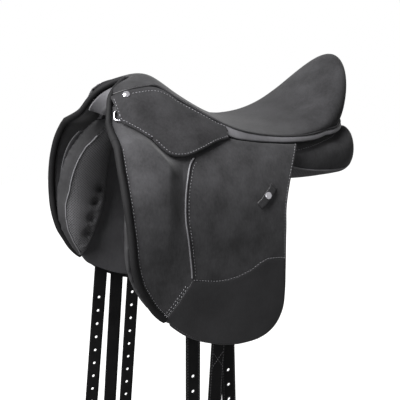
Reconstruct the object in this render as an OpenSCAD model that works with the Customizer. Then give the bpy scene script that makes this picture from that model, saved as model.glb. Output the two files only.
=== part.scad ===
// Dressage saddle in separate pieces, all sizes in millimetres.
// X points forward, Y to the rider's left and Z up.
// The origin lies in the spine channel, below the deepest part of the seat.

/* [Side shape] */
// Distance from the centre plane to the outer face of a hanging flap
flap_y = 174; // [150:1:200]
// Radius of the curve that carries a flap from the seat to its hanging part
arc_r = 240; // [210:1:280]
// Height at which a flap starts to hang straight down
arc_z = -60; // [-90:1:-30]
// Height of the line along which flap and skirt bend
bend_z = 102.45; // [98:0.5:107]

/* [Leather] */
// Thickness of a flap
flap_t = 5; // [3:0.5:7]
// Thickness of a skirt
skirt_t = 4; // [2:0.5:6]
// Space between a flap and the skirt lying over it
skirt_gap = 4.5; // [3:0.5:8]
// Thickness of a sweat flap
sweat_t = 3; // [2:0.5:5]
// Thickness of the smooth panel sewn over the foot of a flap
foot_t = 1.6; // [1:0.1:3]
// Radius of the padded roll along the front edge of a flap
roll_r = 6; // [4:0.5:8]
// Radius of the light piping on a flap
piping_r = 1.5; // [1:0.1:2.5]
// Radius of the welt in the seam round the seat
welt_r = 1.7; // [1:0.1:3]
// Height of the knee block above the flap
block_h = 15; // [8:1:25]
// Clearance between soft pieces that lie on each other
lie_gap = 0.4; // [0.2:0.1:1]

/* [Seat] */
// Amount by which the whole seat stands above its measured height
seat_lift = 0; // [-10:1:10]
// Thickness of the tree plate under the seat
tree_t = 6; // [4:0.5:9]
// Height of the band below the seam of the seat
band_h = 11; // [8:0.5:16]
// Thickness of that band
band_t = 4; // [2:0.5:6]

/* [Panels] */
// Thickness of the front cushion of a panel
leaf_t = 30; // [20:1:40]
// Depth of a tuft in that cushion
tuft_d = 8; // [3:0.5:12]
// Reach of the dent round a tuft
tuft_r = 9; // [5:0.5:14]

/* [Girth straps] */
// Width of a girth strap
strap_w = 26.5; // [20:0.5:30]
// Thickness of a girth strap
strap_t = 3; // [2:0.25:4]
// Clearance on each side of a girth strap
strap_gap = 1.2; // [0.8:0.1:2]
// Height of the pointed end of a girth strap
strap_end_z = -540; // [-600:5:-480]
// Distance between two holes
hole_pitch = 27.5; // [20:0.5:32]
// Number of holes in a strap
hole_n = 9; // [6:1:10]
// Diameter of a hole
hole_d = 5.4; // [4:0.1:7]
// Distance from the sewn top to the first hole, straps of the left side
first_hole_left = 263; // [230:1:290]
// Distance from the sewn top to the first hole, straps of the right side
first_hole_right = 238; // [230:1:290]
// Radius of the rivet that carries a strap
pivot_r = 3; // [2:0.5:4]
// Running clearance of that rivet
pivot_gap = 0.08; // [0.05:0.01:0.1]
// Height of the rivet of the front and the middle strap
pivot_z = -20; // [-40:1:-10]
// Height of the rivet of the rear strap
rear_pivot_z = -60; // [-80:1:-50]
// Place of the front strap along the flap
strap_front_x = 156; // [140:1:170]
// Place of the middle strap along the left and the right flap
strap_middle_left = 98; // [92:1:110]
strap_middle_right = 124; // [110:1:128]
// Place of the rear strap along the flap
strap_rear_x = 95; // [80:1:98]

/* [Metal] */
// Wire of a dee ring
dee_wire = 3; // [2:0.25:4]
// Outer width of a dee ring
dee_w = 27; // [20:1:35]
// Outer height of a dee ring
dee_h = 22; // [16:1:30]
// Running clearance of a dee ring in its chape
dee_gap = 0.08; // [0.05:0.01:0.1]
// Diameter of the dome rivet on a skirt
rivet_d = 12; // [8:0.5:16]
// Diameter of the button on a keeper
stud_d = 11.5; // [8:0.5:14]
// Length of a keeper strip
keeper_l = 43; // [30:1:50]
// Width of a keeper strip
keeper_w = 13; // [10:0.5:18]
// Height of the loop under a keeper strip
keeper_loop = 3.2; // [2:0.1:5]
// Length of a stirrup bar
bar_l = 64; // [55:1:70]
// Width of the slot behind a stirrup bar
bar_slot = 8.5; // [6:0.5:12]
// Radius of the pin of a stirrup bar catch
catch_pin_r = 2; // [1.5:0.1:3]

/* [Hidden] */
$fn = 48;
arc_y = flap_y - arc_r;
function up_angle(h) = asin((h - arc_z) / arc_r);
bend_angle = up_angle(bend_z);
skirt_o0 = skirt_gap;
skirt_o1 = skirt_gap + skirt_t;
strap_step = strap_t + strap_gap;
strap_o = [-flap_t - strap_gap, -flap_t - strap_gap - strap_step, -flap_t - strap_gap - 2 * strap_step];
web_o1 = strap_o[2] - strap_t - strap_gap;
web_o0 = web_o1 - 1.8;
sweat_o1 = web_o0 - 1;
sweat_o0 = sweat_o1 - sweat_t;
panel_o = sweat_o0 - 0.6;

// Edge of the foot and the rear of a flap, from the front corner round
flap_foot = [[203, -180], [192, -190.5], [175, -204], [144, -221.5], [104, -235.5], [70, -241.5], [31, -239],
    [4, -224], [-11.5, -198], [-15.5, -167], [-15.5, -124], [-14.5, -57], [-17, -15], [-33, 28], [-59, 68]];
flap_top = [[-30, 71], [12, 78], [50, 88], [68, 96]];
// Upper edge of the fixed head of a flap above the bend line: x, height
head_x0 = 66;
head_top = [[66, 105], [83, 117], [108, 129], [130, 138], [148, 143], [165, 146], [228, 149], [240, 150]];
// How far the head of a flap draws in at the pommel: height, amount
head_in = [[103, 0], [110, 9], [117, 18.5], [124, 26], [133, 24.5], [140, 20], [147, 14.3], [153.4, 8],
    [160, 0.5], [170, 0]];
draw_x0 = 192;
draw_x1 = 243;
// Left half of the roll over the pommel, from the flap up to the middle, and its radius
arch_path = [[255.9, 102.2, 105], [252.8, 83.6, 113], [248.1, 61.9, 124], [243.8, 52.2, 133], [241, 47, 139.8],
    [238, 41.7, 146.7], [234.7, 35.8, 153.4], [230.9, 30.5, 159.5], [225.5, 25.4, 165.5], [219.1, 20.2, 170.7],
    [211.7, 15.2, 175.3], [203, 10.4, 179.8], [195, 5.2, 182.8], [191, 0, 184]];
arch_r = 4.6;
// Middle of the padded roll down the flap
roll_path = [[256.8, 99], [259.5, 86], [262, 70], [263.5, 50], [264.5, 25], [264.5, -5], [263.5, -40],
    [261, -72], [253, -105], [242, -127], [231.5, -146], [220, -160], [212, -167]];
// Lower edge of the part of a skirt that lifts
lobe_edge = [[199, 125], [198.6, 105], [187, 90], [177, 83], [161, 80], [144, 81], [122, 86], [96, 93],
    [78, 96.5], [66, 98.5], [65.5, 125]];
// Edge of the smooth panel over the foot of a flap
foot_edge = [[165, -111], [130, -120], [105, -123], [80, -121], [56, -115], [38, -106], [23, -102], [6, -103],
    [-11.5, -106], [-12.5, -165], [-8.5, -196], [5, -221], [32, -235.5], [70, -238], [104, -232], [143, -218.5],
    [173, -201], [190, -187.5], [201, -178], [190, -149], [177, -136], [167, -120]];
// Light piping down the flap
piping_path = [[139, 73], [150, 62], [163, 35], [170, 11], [173, -15], [170, -51], [166, -90], [165, -106]];
// Edge of a sweat flap
sweat_edge = [[236, 88], [246, 70], [253, 40], [256, 0], [255, -40], [250, -80], [241, -112], [227, -145],
    [211, -174], [188, -189], [164, -202], [137, -213], [105, -220], [70, -223], [38, -217], [12, -200],
    [2, -170], [2, -100], [4, 0], [8, 50], [16, 88]];
// Front and rear limits of the knee block at a height
block_front = [[-75, 244], [-44, 248], [-4, 250], [36, 249], [67, 246], [87, 243], [97, 240]];
block_rear = [[-75, 186], [-44, 179], [-27, 178], [17, 175], [46, 171], [74, 169], [79, 180], [84, 188],
    [90, 197], [97, 206]];
// Front and rear limits of the front cushion of a panel at a height
leaf_front = [[-158, 226], [-152, 231], [-140, 239], [-122, 249], [-100, 258], [-75, 264], [-50, 265],
    [-25, 263], [0, 260], [25, 255], [50, 248], [75, 238], [95, 229], [112, 218]];
leaf_rear = [[-158, 223], [-152, 218], [-140, 209], [-122, 198], [-100, 187], [-75, 176], [-50, 170],
    [-25, 168], [0, 167], [112, 170]];
leaf_tufts = [[191, -25], [201, -50], [210, -78], [217, -105]];

// Rows of the seat from pommel to cantle: middle x and z, edge x, y and z, fullness
seat_rows = [
    [183, 187, 227, 35, 168.5, 2.0], [174, 190, 208, 44, 175.2, 2.0], [162, 191, 186, 47.5, 178.7, 2.0],
    [148, 187.5, 163, 50.5, 180, 2.0], [131, 176.5, 148, 55, 172.5, 2.0], [112, 161.5, 130, 65, 159, 2.2],
    [88, 144.5, 108, 80, 144, 2.2], [60, 128, 83, 97, 127, 2.4], [28, 114.5, 50, 111.5, 109.5, 2.4],
    [-5, 106, 12, 118, 98, 2.4], [-38, 101.5, -30, 120, 90.5, 2.3], [-72, 102.5, -48, 121, 88.8, 2.2],
    [-108, 112, -62, 121.5, 87.8, 2.1], [-140, 129.5, -74, 121.5, 87.2, 2.0],
    [-170, 152.5, -84, 120.5, 86.8, 2.0], [-197, 177.5, -92, 119.5, 86.5, 2.0], [-217, 196, -98, 118.5, 86.3, 2.0],
    [-229.5, 202.5, -103, 117.5, 86, 2.0], [-237.5, 197, -108, 116.5, 85.7, 2.0],
    [-240.5, 181.5, -113, 115.5, 85.4, 2.0],
    [-238.5, 157, -118, 114.3, 85.2, 2.0], [-232.5, 128, -123, 113, 85, 2.0], [-224, 103, -128, 111.5, 84.8, 2.0],
    [-215, 84, -133, 110, 84.5, 2.0]];
// First row that bends round the cantle
seat_bent = 10;
// Underside of the seat in the same rows: middle x and z
seat_floor = [[180, 167.5], [176, 168], [163, 168.5], [149, 166], [132, 156], [112, 142], [88, 127], [60, 112],
    [28, 99], [-5, 90], [-38, 86], [-70, 87], [-104, 93], [-134, 104], [-160, 121], [-182, 141], [-197, 153],
    [-205, 157], [-209, 152], [-211, 140], [-210, 124], [-207, 107], [-203, 92], [-198, 79]];
seat_cols = 14;
// Rows of the tree plate: x, middle z, half width, edge z
tree_rows = [[182, 166, 38, 150], [172, 166.4, 40, 149.5], [160, 164, 42, 148], [135, 153, 44, 140],
    [112, 139, 48, 129], [88, 124, 56, 115], [60, 109, 66, 102], [28, 96, 76, 90], [-5, 87, 84, 83],
    [-38, 83, 88, 79], [-70, 84, 86, 78], [-100, 88, 80, 79], [-130, 98, 70, 82], [-158, 114, 62, 88],
    [-180, 132, 54, 98]];
tree_cols = 10;
// Loops of a rear panel cushion: x, middle y and z, half width, half height
panel_rows = [[-235, 66, 33.5, 9, 12], [-230.5, 66.5, 33.5, 17, 23.5], [-222, 68, 33.5, 24, 30.5],
    [-208, 71, 33.5, 31, 34], [-190, 74, 34.5, 37, 34.8], [-166, 77, 33, 40.5, 35], [-138, 80, 33, 42.5, 35],
    [-105, 82, 33.5, 43.5, 34.5], [-70, 82, 35.5, 42.5, 32.5], [-35, 79, 38, 39.5, 30], [0, 75, 41, 35, 28],
    [40, 71, 45, 31.5, 27], [80, 67.5, 50, 29, 26.5], [120, 64, 56, 27, 26], [145, 62, 59, 24, 23],
    [158, 61, 60, 18, 17], [164, 60.5, 60, 9, 9]];
panel_cols = 22;
// Columns of the fixed part of a skirt: x, upper y and z, lower z, how far it stands off the flap
skirt_cols = [[232.3, 39.5, 166, 139, 1.5], [231.3, 41.5, 167.5, 133, 1.8], [229, 43, 168.5, 129.7, 2],
    [223.5, 44.8, 171, 126.2, 2], [217, 46.3, 173, 121.8, 1.6], [211, 47.6, 174.5, 117.3, 0.8],
    [205, 48.6, 175.5, 112.8, 0.2], [198, 49.8, 176.5, 109, 0], [185, 51.6, 178, 109, 0],
    [172, 53.4, 178.8, 109, 0], [160, 55.5, 176.5, 109, 0], [148, 59.3, 170.5, 109, 0], [138, 63.7, 162.5, 109, 0],
    [128, 69, 154.5, 109, 0], [116, 77.5, 146.5, 109, 0], [104, 86, 138.5, 109, 0], [92, 94, 130.5, 109, 0],
    [80, 101.5, 122.2, 109, 0], [70, 107, 117, 109, 0], [65, 109.5, 114, 109, 0]];
skirt_levels = 6;

// Point on the side surface, off to the outside by o
function side_y(z, o) = z <= arc_z ? flap_y + o : arc_y + sqrt(max(1, pow(arc_r + o, 2) - pow(z - arc_z, 2)));
function side_p(p, o) = [p[0], side_y(p[1], o), p[1]];
// The same surface where the head of a flap draws in at the pommel
function draw_in(x, z) = let (t = min(max((x - draw_x0) / (draw_x1 - draw_x0), 0), 1))
    lookup(z, head_in) * t * t * (3 - 2 * t);
function head_s(x, z) = [x, side_y(z, 0) - draw_in(x, z), z];
function unit(v) = v / norm(v);
function clampi(i, n) = min(max(i, 0), n);
// Smooth curve through a list of points, n steps between two of them
function bow(p, n) = let (last = len(p) - 1) concat(
    [for (i = [0:last - 1]) for (k = [0:n - 1]) let (t = k / n, a = p[clampi(i - 1, last)], b = p[i],
        c = p[i + 1], d = p[clampi(i + 2, last)])
        0.5 * (2 * b + (c - a) * t + (2 * a - 5 * b + 4 * c - d) * t * t + (3 * b - a - 3 * c + d) * t * t * t)],
    [p[last]]);
// Line beside a list of points in a plane, off by d to the right of the way along it
function beside(p, d) = [for (i = [0:len(p) - 1])
    let (t = unit(p[clampi(i + 1, len(p) - 1)] - p[clampi(i - 1, len(p) - 1)])) p[i] + d * [t[1], -t[0]]];
function mirrored(p) = [for (i = [len(p) - 1:-1:0]) [p[i][0], -p[i][1], p[i][2]]];
function at(r, i) = is_list(r) ? r[i] : r;
function round_path(path, r, n, up) = [for (i = [0:len(path) - 1])
    let (t = unit(path[clampi(i + 1, len(path) - 1)] - path[clampi(i - 1, len(path) - 1)]),
        a = unit(cross(t, up)), b = cross(a, t))
        [for (k = [0:n - 1]) path[i] + at(r, i) * (cos(360 * k / n) * a + sin(360 * k / n) * b)]];

// Solid through loops of equal count, closed at both ends
module loft(loops) {
    n = len(loops[0]);
    m = len(loops);
    sides = [for (i = [0:m - 2]) for (k = [0:n - 1]) for (h = [0, 1])
        let (q = (k + 1) % n)
        h == 0 ? [i * n + k, i * n + q, (i + 1) * n + q] : [i * n + k, (i + 1) * n + q, (i + 1) * n + k]];
    ends = [[for (k = [n - 1:-1:0]) k], [for (k = [0:n - 1]) (m - 1) * n + k]];
    polyhedron(points = [for (l = loops) for (p = l) p], faces = concat(sides, ends));
}

// Solid between two grids of equal size
module slab(top, bottom) {
    m = len(top);
    n = len(top[0]);
    b = m * n;
    upper = [for (i = [0:m - 2]) for (j = [0:n - 2]) for (h = [0, 1])
        h == 0 ? [i * n + j, i * n + j + 1, (i + 1) * n + j + 1]
            : [i * n + j, (i + 1) * n + j + 1, (i + 1) * n + j]];
    lower = [for (f = upper) [b + f[2], b + f[1], b + f[0]]];
    rim = concat([for (j = [0:n - 2]) [j, j + 1]], [for (i = [0:m - 2]) [i * n + n - 1, (i + 1) * n + n - 1]],
        [for (j = [n - 1:-1:1]) [(m - 1) * n + j, (m - 1) * n + j - 1]],
        [for (i = [m - 1:-1:1]) [i * n, (i - 1) * n]]);
    walls = [for (e = rim) for (h = [0, 1]) h == 0 ? [e[0], b + e[0], b + e[1]] : [e[0], b + e[1], e[1]]];
    polyhedron(points = concat([for (r = top) for (p = r) p], [for (r = bottom) for (p = r) p]),
        faces = concat(upper, lower, walls));
}

// Part of a round shell about the side curve, between two angles
module arc_shell(o0, o1, a0, a1, x0, x1) {
    translate([0, arc_y, arc_z])
        rotate(120, [1, 1, 1])
            rotate([0, 0, a0])
                rotate_extrude(angle = a1 - a0, $fn = 180)
                    translate([arc_r + o0, x0])
                        square([o1 - o0, x1 - x0]);
}

// Straight part of the same shell, below the curve
module hang_slab(o0, o1, x0, x1, z0) {
    translate([x0, flap_y + o0, z0])
        cube([x1 - x0, o1 - o0, arc_z - z0]);
}

// Everything on the left of the centre plane inside an outline seen from the side
module seen_from_side(outline) {
    rotate([90, 0, 0])
        translate([0, 0, -300])
            linear_extrude(300)
                polygon(outline);
}

// Place on the side curve: x, angle up the curve, distance outside; local Z points outward
module on_curve(x, angle, o) {
    translate([x, arc_y + (arc_r + o) * cos(angle), arc_z + (arc_r + o) * sin(angle)])
        rotate([angle - 90, 0, 0])
            children();
}

module right_side() {
    mirror([0, 1, 0])
        children();
}

// Seat cushion
function seat_w(j) = 1 - 2 * j / seat_cols;
function seat_edge(i) = [seat_rows[i][2], seat_rows[i][3], seat_rows[i][4] + seat_lift];
function seat_pull(i, w) = let (v = abs(sin(90 * w)))
    i == 0 ? v * v * (3 - 2 * v) : i < seat_bent ? v * v : 1 - cos(90 * w);
function seat_top(i, w) = let (r = seat_rows[i], v = sin(90 * w), e = seat_edge(i), middle = r[1] + seat_lift)
    [r[0] + (e[0] - r[0]) * seat_pull(i, w), e[1] * v, e[2] + (middle - e[2]) * (1 - pow(abs(v), r[5]))];
function seat_under(i, w) = let (f = seat_floor[i], v = sin(90 * w),
        e = seat_edge(i) + (i == 0 ? [-13, -10, -6] : [0, -9, -6]), middle = f[1] - foam_sink + seat_lift)
    [f[0] + (e[0] - f[0]) * seat_pull(i, w), e[1] * v, e[2] + (middle - e[2]) * (1 - v * v)];
seat_last = len(seat_rows) - 1;
// Depth by which the foam settles onto the tree
foam_sink = 1.2;
module seat() {
    color([0.3, 0.3, 0.31])
        slab([for (i = [0:seat_last]) [for (j = [0:seat_cols]) seat_top(i, seat_w(j))]],
            [for (i = [0:seat_last]) [for (j = [0:seat_cols]) seat_under(i, seat_w(j))]]);
}

// Seam line round the seat, from the left of the pommel round the cantle to the right
seam_rear = [for (k = [1:8]) seat_top(seat_last, 1 - k / 8.5)];
seam_left = concat([for (i = [0:seat_last]) seat_edge(i)], seam_rear);
function outward(p, i) = let (t = p[clampi(i + 1, len(p) - 1)] - p[clampi(i - 1, len(p) - 1)])
    unit([t[1], -t[0], 0]);
function pushed(p, d, h) = [for (i = [0:len(p) - 1]) p[i] + d * outward(p, i) + [0, 0, h]];
seam = concat(seam_left, mirrored(seam_left));

module seat_welt() {
    color([0.08, 0.08, 0.08])
        loft(round_path(pushed(seam, welt_r + lie_gap, -welt_r), welt_r, 6, [0, 0, 1]));
}

// Band below the seam, from the rear of one skirt round the cantle to the other
band_left = concat([[62, 108, 116 + seat_lift]], [for (i = [8:len(seam_left) - 1]) seam_left[i]]);
band_line = concat(band_left, mirrored(band_left));
module seat_band() {
    inner = pushed(band_line, lie_gap, 0);
    outer = pushed(band_line, lie_gap + band_t, 0);
    color([0.16, 0.16, 0.17])
        loft([for (i = [0:len(inner) - 1])
            let (top = -2 * welt_r - lie_gap)
            [inner[i] + [0, 0, top], outer[i] + [0, 0, top], outer[i] + [0, 0, top - band_h],
                inner[i] + [0, 0, top - band_h]]]);
}

// Tree: plate under the seat, its side pieces and the steel head
function tree_p(i, j, d) = let (r = tree_rows[i], v = 1 - 2 * j / tree_cols)
    [r[0], r[2] * v, r[3] + (r[1] - r[3]) * (1 - v * v) - d + seat_lift];
module tree() {
    color([0.12, 0.12, 0.13])
        slab([for (i = [0:len(tree_rows) - 1]) [for (j = [0:tree_cols]) tree_p(i, j, 0)]],
            [for (i = [0:len(tree_rows) - 1]) [for (j = [0:tree_cols]) tree_p(i, j, tree_t)]]);
}

rail_o1 = -flap_t - 6;
rail_o0 = rail_o1 - 6;
rail_a0 = up_angle(99);
rail_edge = [[182, 80], [182, 138], [150, 138], [120, 122], [90, 106], [60, 95], [48, 92], [48, 80]];
module tree_side_left() {
    color([0.12, 0.12, 0.13])
        intersection() {
            arc_shell(rail_o0, rail_o1, rail_a0, 62, 40, 190);
            seen_from_side(rail_edge);
        }
}

// Steel head: two points joined by a bridge further back
head_o1 = -13.5;
head_o0 = -21;
point_x0 = 184;
point_x1 = 203;
bridge_x0 = 159;
bridge_x1 = 188;
point_z = 130;
bridge_z = 138;
screw_angles = [up_angle(94), up_angle(124)];
module half_head() {
    difference() {
        intersection() {
            arc_shell(head_o0, head_o1, 34, 80, bridge_x0 - 5, point_x1 + 5);
            seen_from_side([[bridge_x0, bridge_z], [point_x0, bridge_z], [point_x0, 50], [point_x1, 50],
                [point_x1, point_z], [bridge_x1, point_z + 17], [bridge_x1, 200], [bridge_x0, 200]]);
        }
        for (a = screw_angles)
            on_curve((point_x0 + point_x1) / 2, a, head_o0 - 5)
                cylinder(h = 20, r = 3.1);
    }
}
module gullet_plate() {
    color([0.55, 0.56, 0.58])
        union() {
            half_head();
            right_side()
                half_head();
        }
}
module screw() {
    rotate_extrude()
        polygon([[0, head_o0 + 0.5], [3, head_o0 + 0.5], [3, head_o1], [3, head_o1 + 0.1], [5.5, head_o1 + 0.1],
            [5, head_o1 + 2.2], [3.5, head_o1 + 3], [0, head_o1 + 3]]);
}
module gullet_screws() {
    color([0.7, 0.7, 0.72])
        for (s = [0, 1])
            mirror([0, s, 0])
                for (a = screw_angles)
                    on_curve((point_x0 + point_x1) / 2, a, 0)
                        screw();
}
// Lining of the gullet, from the roll over the pommel back under the steel head
lining_t = 1.6;
lining_o = head_o0 - 2 * lie_gap;
lining_back = 160;
// Left half from the lower edge up to the middle: front point, then angle up the curve and x of the throat
lining_half = [[[236.5, 44.5, 131], 54.8, 205], [[235.8, 42.5, 136], 57, 207], [[233, 37, 143.5], 60, 207],
    [[229.5, 31.5, 150], 62.5, 206], [[225.5, 26.5, 156], 65, 203.5], [[220, 21.5, 161.5], 67.3, 200],
    [[213.5, 16.5, 166.5], 69, 196.5], [[206, 11.5, 171], 70.6, 193], [[197.5, 6, 174.5], 71.8, 190.5]];
function on_shell(x, a, o) = [x, arc_y + (arc_r + o) * cos(a), arc_z + (arc_r + o) * sin(a)];
function lining_row(q, d) = let (o = lining_o - d, b = on_shell(q[2], q[1], o),
        f = q[0] - [0.55, 0.35, 0.75] * d)
    [f, f * 0.62 + b * 0.38 + [0.8, 0, 0.8], f * 0.28 + b * 0.72 + [0.5, 0, 0.5], b,
        on_shell((q[2] + lining_back) / 2, q[1], o), on_shell(lining_back, q[1], o)];
function lining_mid(d) = let (o = lining_o - d, b = [189.5, 0, side_top(o)],
        f = [194 - 0.55 * d, 0, 176.5 - 0.75 * d])
    [f, f * 0.62 + b * 0.38 + [0.8, 0, 0.8], f * 0.28 + b * 0.72 + [0.5, 0, 0.5], b,
        [(189.5 + lining_back) / 2, 0, side_top(o)], [lining_back, 0, side_top(o)]];
function side_top(o) = arc_z + sqrt(pow(arc_r + o, 2) - arc_y * arc_y);
function flipped(rows) = [for (i = [len(rows) - 1:-1:0]) [for (p = rows[i]) [p[0], -p[1], p[2]]]];
function lining_grid(d) = let (half = [for (q = lining_half) lining_row(q, d)])
    concat(half, [lining_mid(d)], flipped(half));
module gullet_lining() {
    color([0.35, 0.35, 0.36])
        slab(lining_grid(lining_t), lining_grid(0));
}

// Roll over the pommel, from one flap to the other
module pommel_roll() {
    half = bow(arch_path, 2);
    last = len(half) - 1;
    path = concat(half, [for (i = [last - 1:-1:0]) [half[i][0], -half[i][1], half[i][2]]]);
    radii = [for (p = path) arch_r + (roll_r - arch_r) * min(max((130 - p[2]) / 22, 0), 1)];
    color([0.24, 0.24, 0.25])
        loft(round_path(path, radii, 10, [1, 0, 0]));
}

// Skirts: the part sewn to the seat and the part that lifts
function skirt_p(c, i, d) = let (z2 = c[3], p0 = [c[1], c[2] - 2],
        p2 = [side_y(z2, skirt_o1 + c[4]) - draw_in(c[0], z2), z2],
        p1 = [p0[0] + 0.56 * (p2[0] - p0[0]), p0[1] - 0.36 * (p0[1] - p2[1])], t = i / skirt_levels,
        q = p0 * (1 - t) * (1 - t) + p1 * 2 * t * (1 - t) + p2 * t * t,
        g = unit((p1 - p0) * (1 - t) + (p2 - p1) * t))
    [c[0], q[0] + g[1] * d, q[1] - g[0] * d];
module skirt_left() {
    color([0.3, 0.3, 0.31])
        slab([for (i = [0:skirt_levels]) [for (c = skirt_cols) skirt_p(c, i, 0)]],
            [for (i = [0:skirt_levels]) [for (c = skirt_cols) skirt_p(c, i, skirt_t)]]);
}
module skirt_lobe_left() {
    color([0.3, 0.3, 0.31])
        intersection() {
            arc_shell(skirt_o0, skirt_o1, 20, bend_angle - 0.1, 60, 210);
            seen_from_side(concat([lobe_edge[0]], bow([for (i = [1:len(lobe_edge) - 2]) lobe_edge[i]], 2),
                [lobe_edge[len(lobe_edge) - 1]]));
        }
}

// Dome rivet at the front of a skirt
rivet_col = [213.4, 47.1, 173.9, 119.1, 1.1];
rivet_level = 0.108 * skirt_levels;
rivet_along = skirt_p(skirt_cols[4], rivet_level, 0) - skirt_p(skirt_cols[5], rivet_level, 0);
rivet_down = skirt_p(rivet_col, rivet_level + 0.1, 0) - skirt_p(rivet_col, rivet_level - 0.1, 0);
rivet_out = unit(cross(rivet_along, rivet_down));
module skirt_rivet_left() {
    color([0.85, 0.85, 0.87])
        translate(skirt_p(rivet_col, rivet_level, 0) + lie_gap * rivet_out)
            rotate([0, acos(rivet_out[2]), atan2(rivet_out[1], rivet_out[0])])
                rotate_extrude()
                    polygon([[0, 0], [rivet_d / 2, 0], [rivet_d / 2, 0.6], [rivet_d * 0.42, 1.9],
                        [rivet_d * 0.27, 2.7], [0, 3.1]]);
}

// Flaps: the head sewn under the skirt and the part that lifts
notch_x0 = 100;
notch_mid = 117;
notch_x1 = 186;
notch_angle = up_angle(85.8);
notch_step = up_angle(88.4);
dee_x = 220.5;
dee_z = 141.5;
dee_reach = 17;
chape_w = 10;
chape_l = 14;
chape_t = 1.2;
// Point of the head of a flap: u from its rear to its front, t from the bend line to its top
function head_p(u, t, o) = let (a0 = bend_angle + 0.05, a1 = up_angle(lookup(head_x0 + 172 * u, head_top)),
        a = a0 + (a1 - a0) * t, z = arc_z + arc_r * sin(a),
        x = head_x0 + (lookup(z, head_front) - head_x0) * u)
    [x, arc_y + (arc_r + o) * cos(a) - draw_in(x, z), arc_z + (arc_r + o) * sin(a)];
head_front = [for (i = [0:6])
    let (p = arch_path[i], thinner = (roll_r - arch_r) * min(max((p[2] - 105) / 20, 0), 1))
    [p[2], p[0] - roll_r - lie_gap + thinner]];
head_n = 24;
head_m = 8;
module flap_head_left() {
    color([0.28, 0.28, 0.29])
        slab([for (i = [0:head_m]) [for (j = [0:head_n]) head_p(1 - j / head_n, i / head_m, 0)]],
            [for (i = [0:head_m]) [for (j = [0:head_n]) head_p(1 - j / head_n, i / head_m, -flap_t)]]);
}
module flap_left() {
    color([0.28, 0.28, 0.29])
        difference() {
            intersection() {
                union() {
                    arc_shell(-flap_t, 0, 0, bend_angle - 0.05, -80, 262);
                    hang_slab(-flap_t, 0, -80, 262, -260);
                }
                seen_from_side(concat([[249.4, 108]], beside(bow(roll_path, 2), roll_r + lie_gap),
                    bow(flap_foot, 3), flap_top, [[72, 108]]));
            }
            arc_shell(-flap_t - 1, 1, notch_angle, bend_angle + 2, notch_mid, notch_x1);
            arc_shell(-flap_t - 1, 1, notch_step, bend_angle + 2, notch_x0, notch_mid + 1);
        }
}
module flap_roll_left() {
    color([0.24, 0.24, 0.25])
        loft(round_path([for (p = bow(roll_path, 2)) side_p(p, -flap_t / 2)], roll_r, 10, [1, 0, 0]));
}

// Knee block on the front of a flap
block_n = 15;
block_m = 10;
block_z0 = 97;
block_z1 = -75;
function block_x(z, u) = lookup(z, block_front) + (lookup(z, block_rear) - lookup(z, block_front)) * u;
function block_up(t, u) = 0.8
    + block_h * 1.45 * pow(1 - t, 1.1) * (1 - exp(-10 * t)) * pow(sin(180 * pow(u, 1.35)), 0.7);
function block_p(i, j, base) = let (t = i / block_n, u = j / block_m, z = block_z0 + (block_z1 - block_z0) * t)
    side_p([block_x(z, u), z], base ? lie_gap : lie_gap + block_up(t, u));
module knee_block_left() {
    color([0.3, 0.3, 0.31])
        slab([for (i = [0:block_n]) [for (j = [0:block_m]) block_p(i, j, false)]],
            [for (i = [0:block_n]) [for (j = [0:block_m]) block_p(i, j, true)]]);
}

module flap_foot_left() {
    color([0.1, 0.1, 0.1])
        translate([0, flap_y + lie_gap, 0])
            rotate([90, 0, 0])
                translate([0, 0, -foot_t])
                    linear_extrude(foot_t)
                        polygon(foot_edge);
}
module flap_piping_left() {
    color([0.62, 0.62, 0.63])
        loft(round_path([for (p = bow(piping_path, 3)) side_p(p, piping_r + lie_gap)], piping_r, 8, [1, 0, 0]));
}

// Keeper on the flap with its button
keeper_x = 22;
keeper_angle = up_angle(4.1);
keeper_turn = 42;
keeper_t = 2.2;
module keeper_left() {
    color([0.1, 0.1, 0.1])
        on_curve(keeper_x, keeper_angle, 0.2)
            rotate([0, 0, keeper_turn])
                difference() {
                    translate([-keeper_l / 2, -keeper_w / 2, 0])
                        cube([keeper_l, keeper_w, keeper_loop + keeper_t]);
                    translate([-keeper_l / 2 + 6, -keeper_w, -1])
                        cube([keeper_l - 12, 2 * keeper_w, keeper_loop + 1]);
                }
}
module keeper_stud_left() {
    color([0.85, 0.85, 0.87])
        on_curve(keeper_x, keeper_angle, 0.2 + keeper_loop + keeper_t + 0.05)
            rotate_extrude()
                polygon([[0, 0], [stud_d / 2, 0], [stud_d / 2, 1.1], [stud_d * 0.42, 1.7], [0, 1.9]]);
}

// Sweat flap under the straps
module sweat_flap_left() {
    color([0.13, 0.13, 0.13])
        intersection() {
            union() {
                arc_shell(sweat_o0, sweat_o1, 0, 46, 0, 260);
                hang_slab(sweat_o0, sweat_o1, 0, 260, -240);
            }
            seen_from_side(sweat_edge);
        }
}

// Panel cushions
function pow_s(a, e) = sign(a) * pow(abs(a), e);
module panel_left() {
    color([0.2, 0.2, 0.21])
        loft([for (r = panel_rows) [for (k = [0:panel_cols - 1]) let (a = -360 * k / panel_cols)
            [r[0], r[1] - r[3] * pow_s(cos(a), 0.72), r[2] + r[4] * pow_s(sin(a), 0.72)]]]);
}

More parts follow.
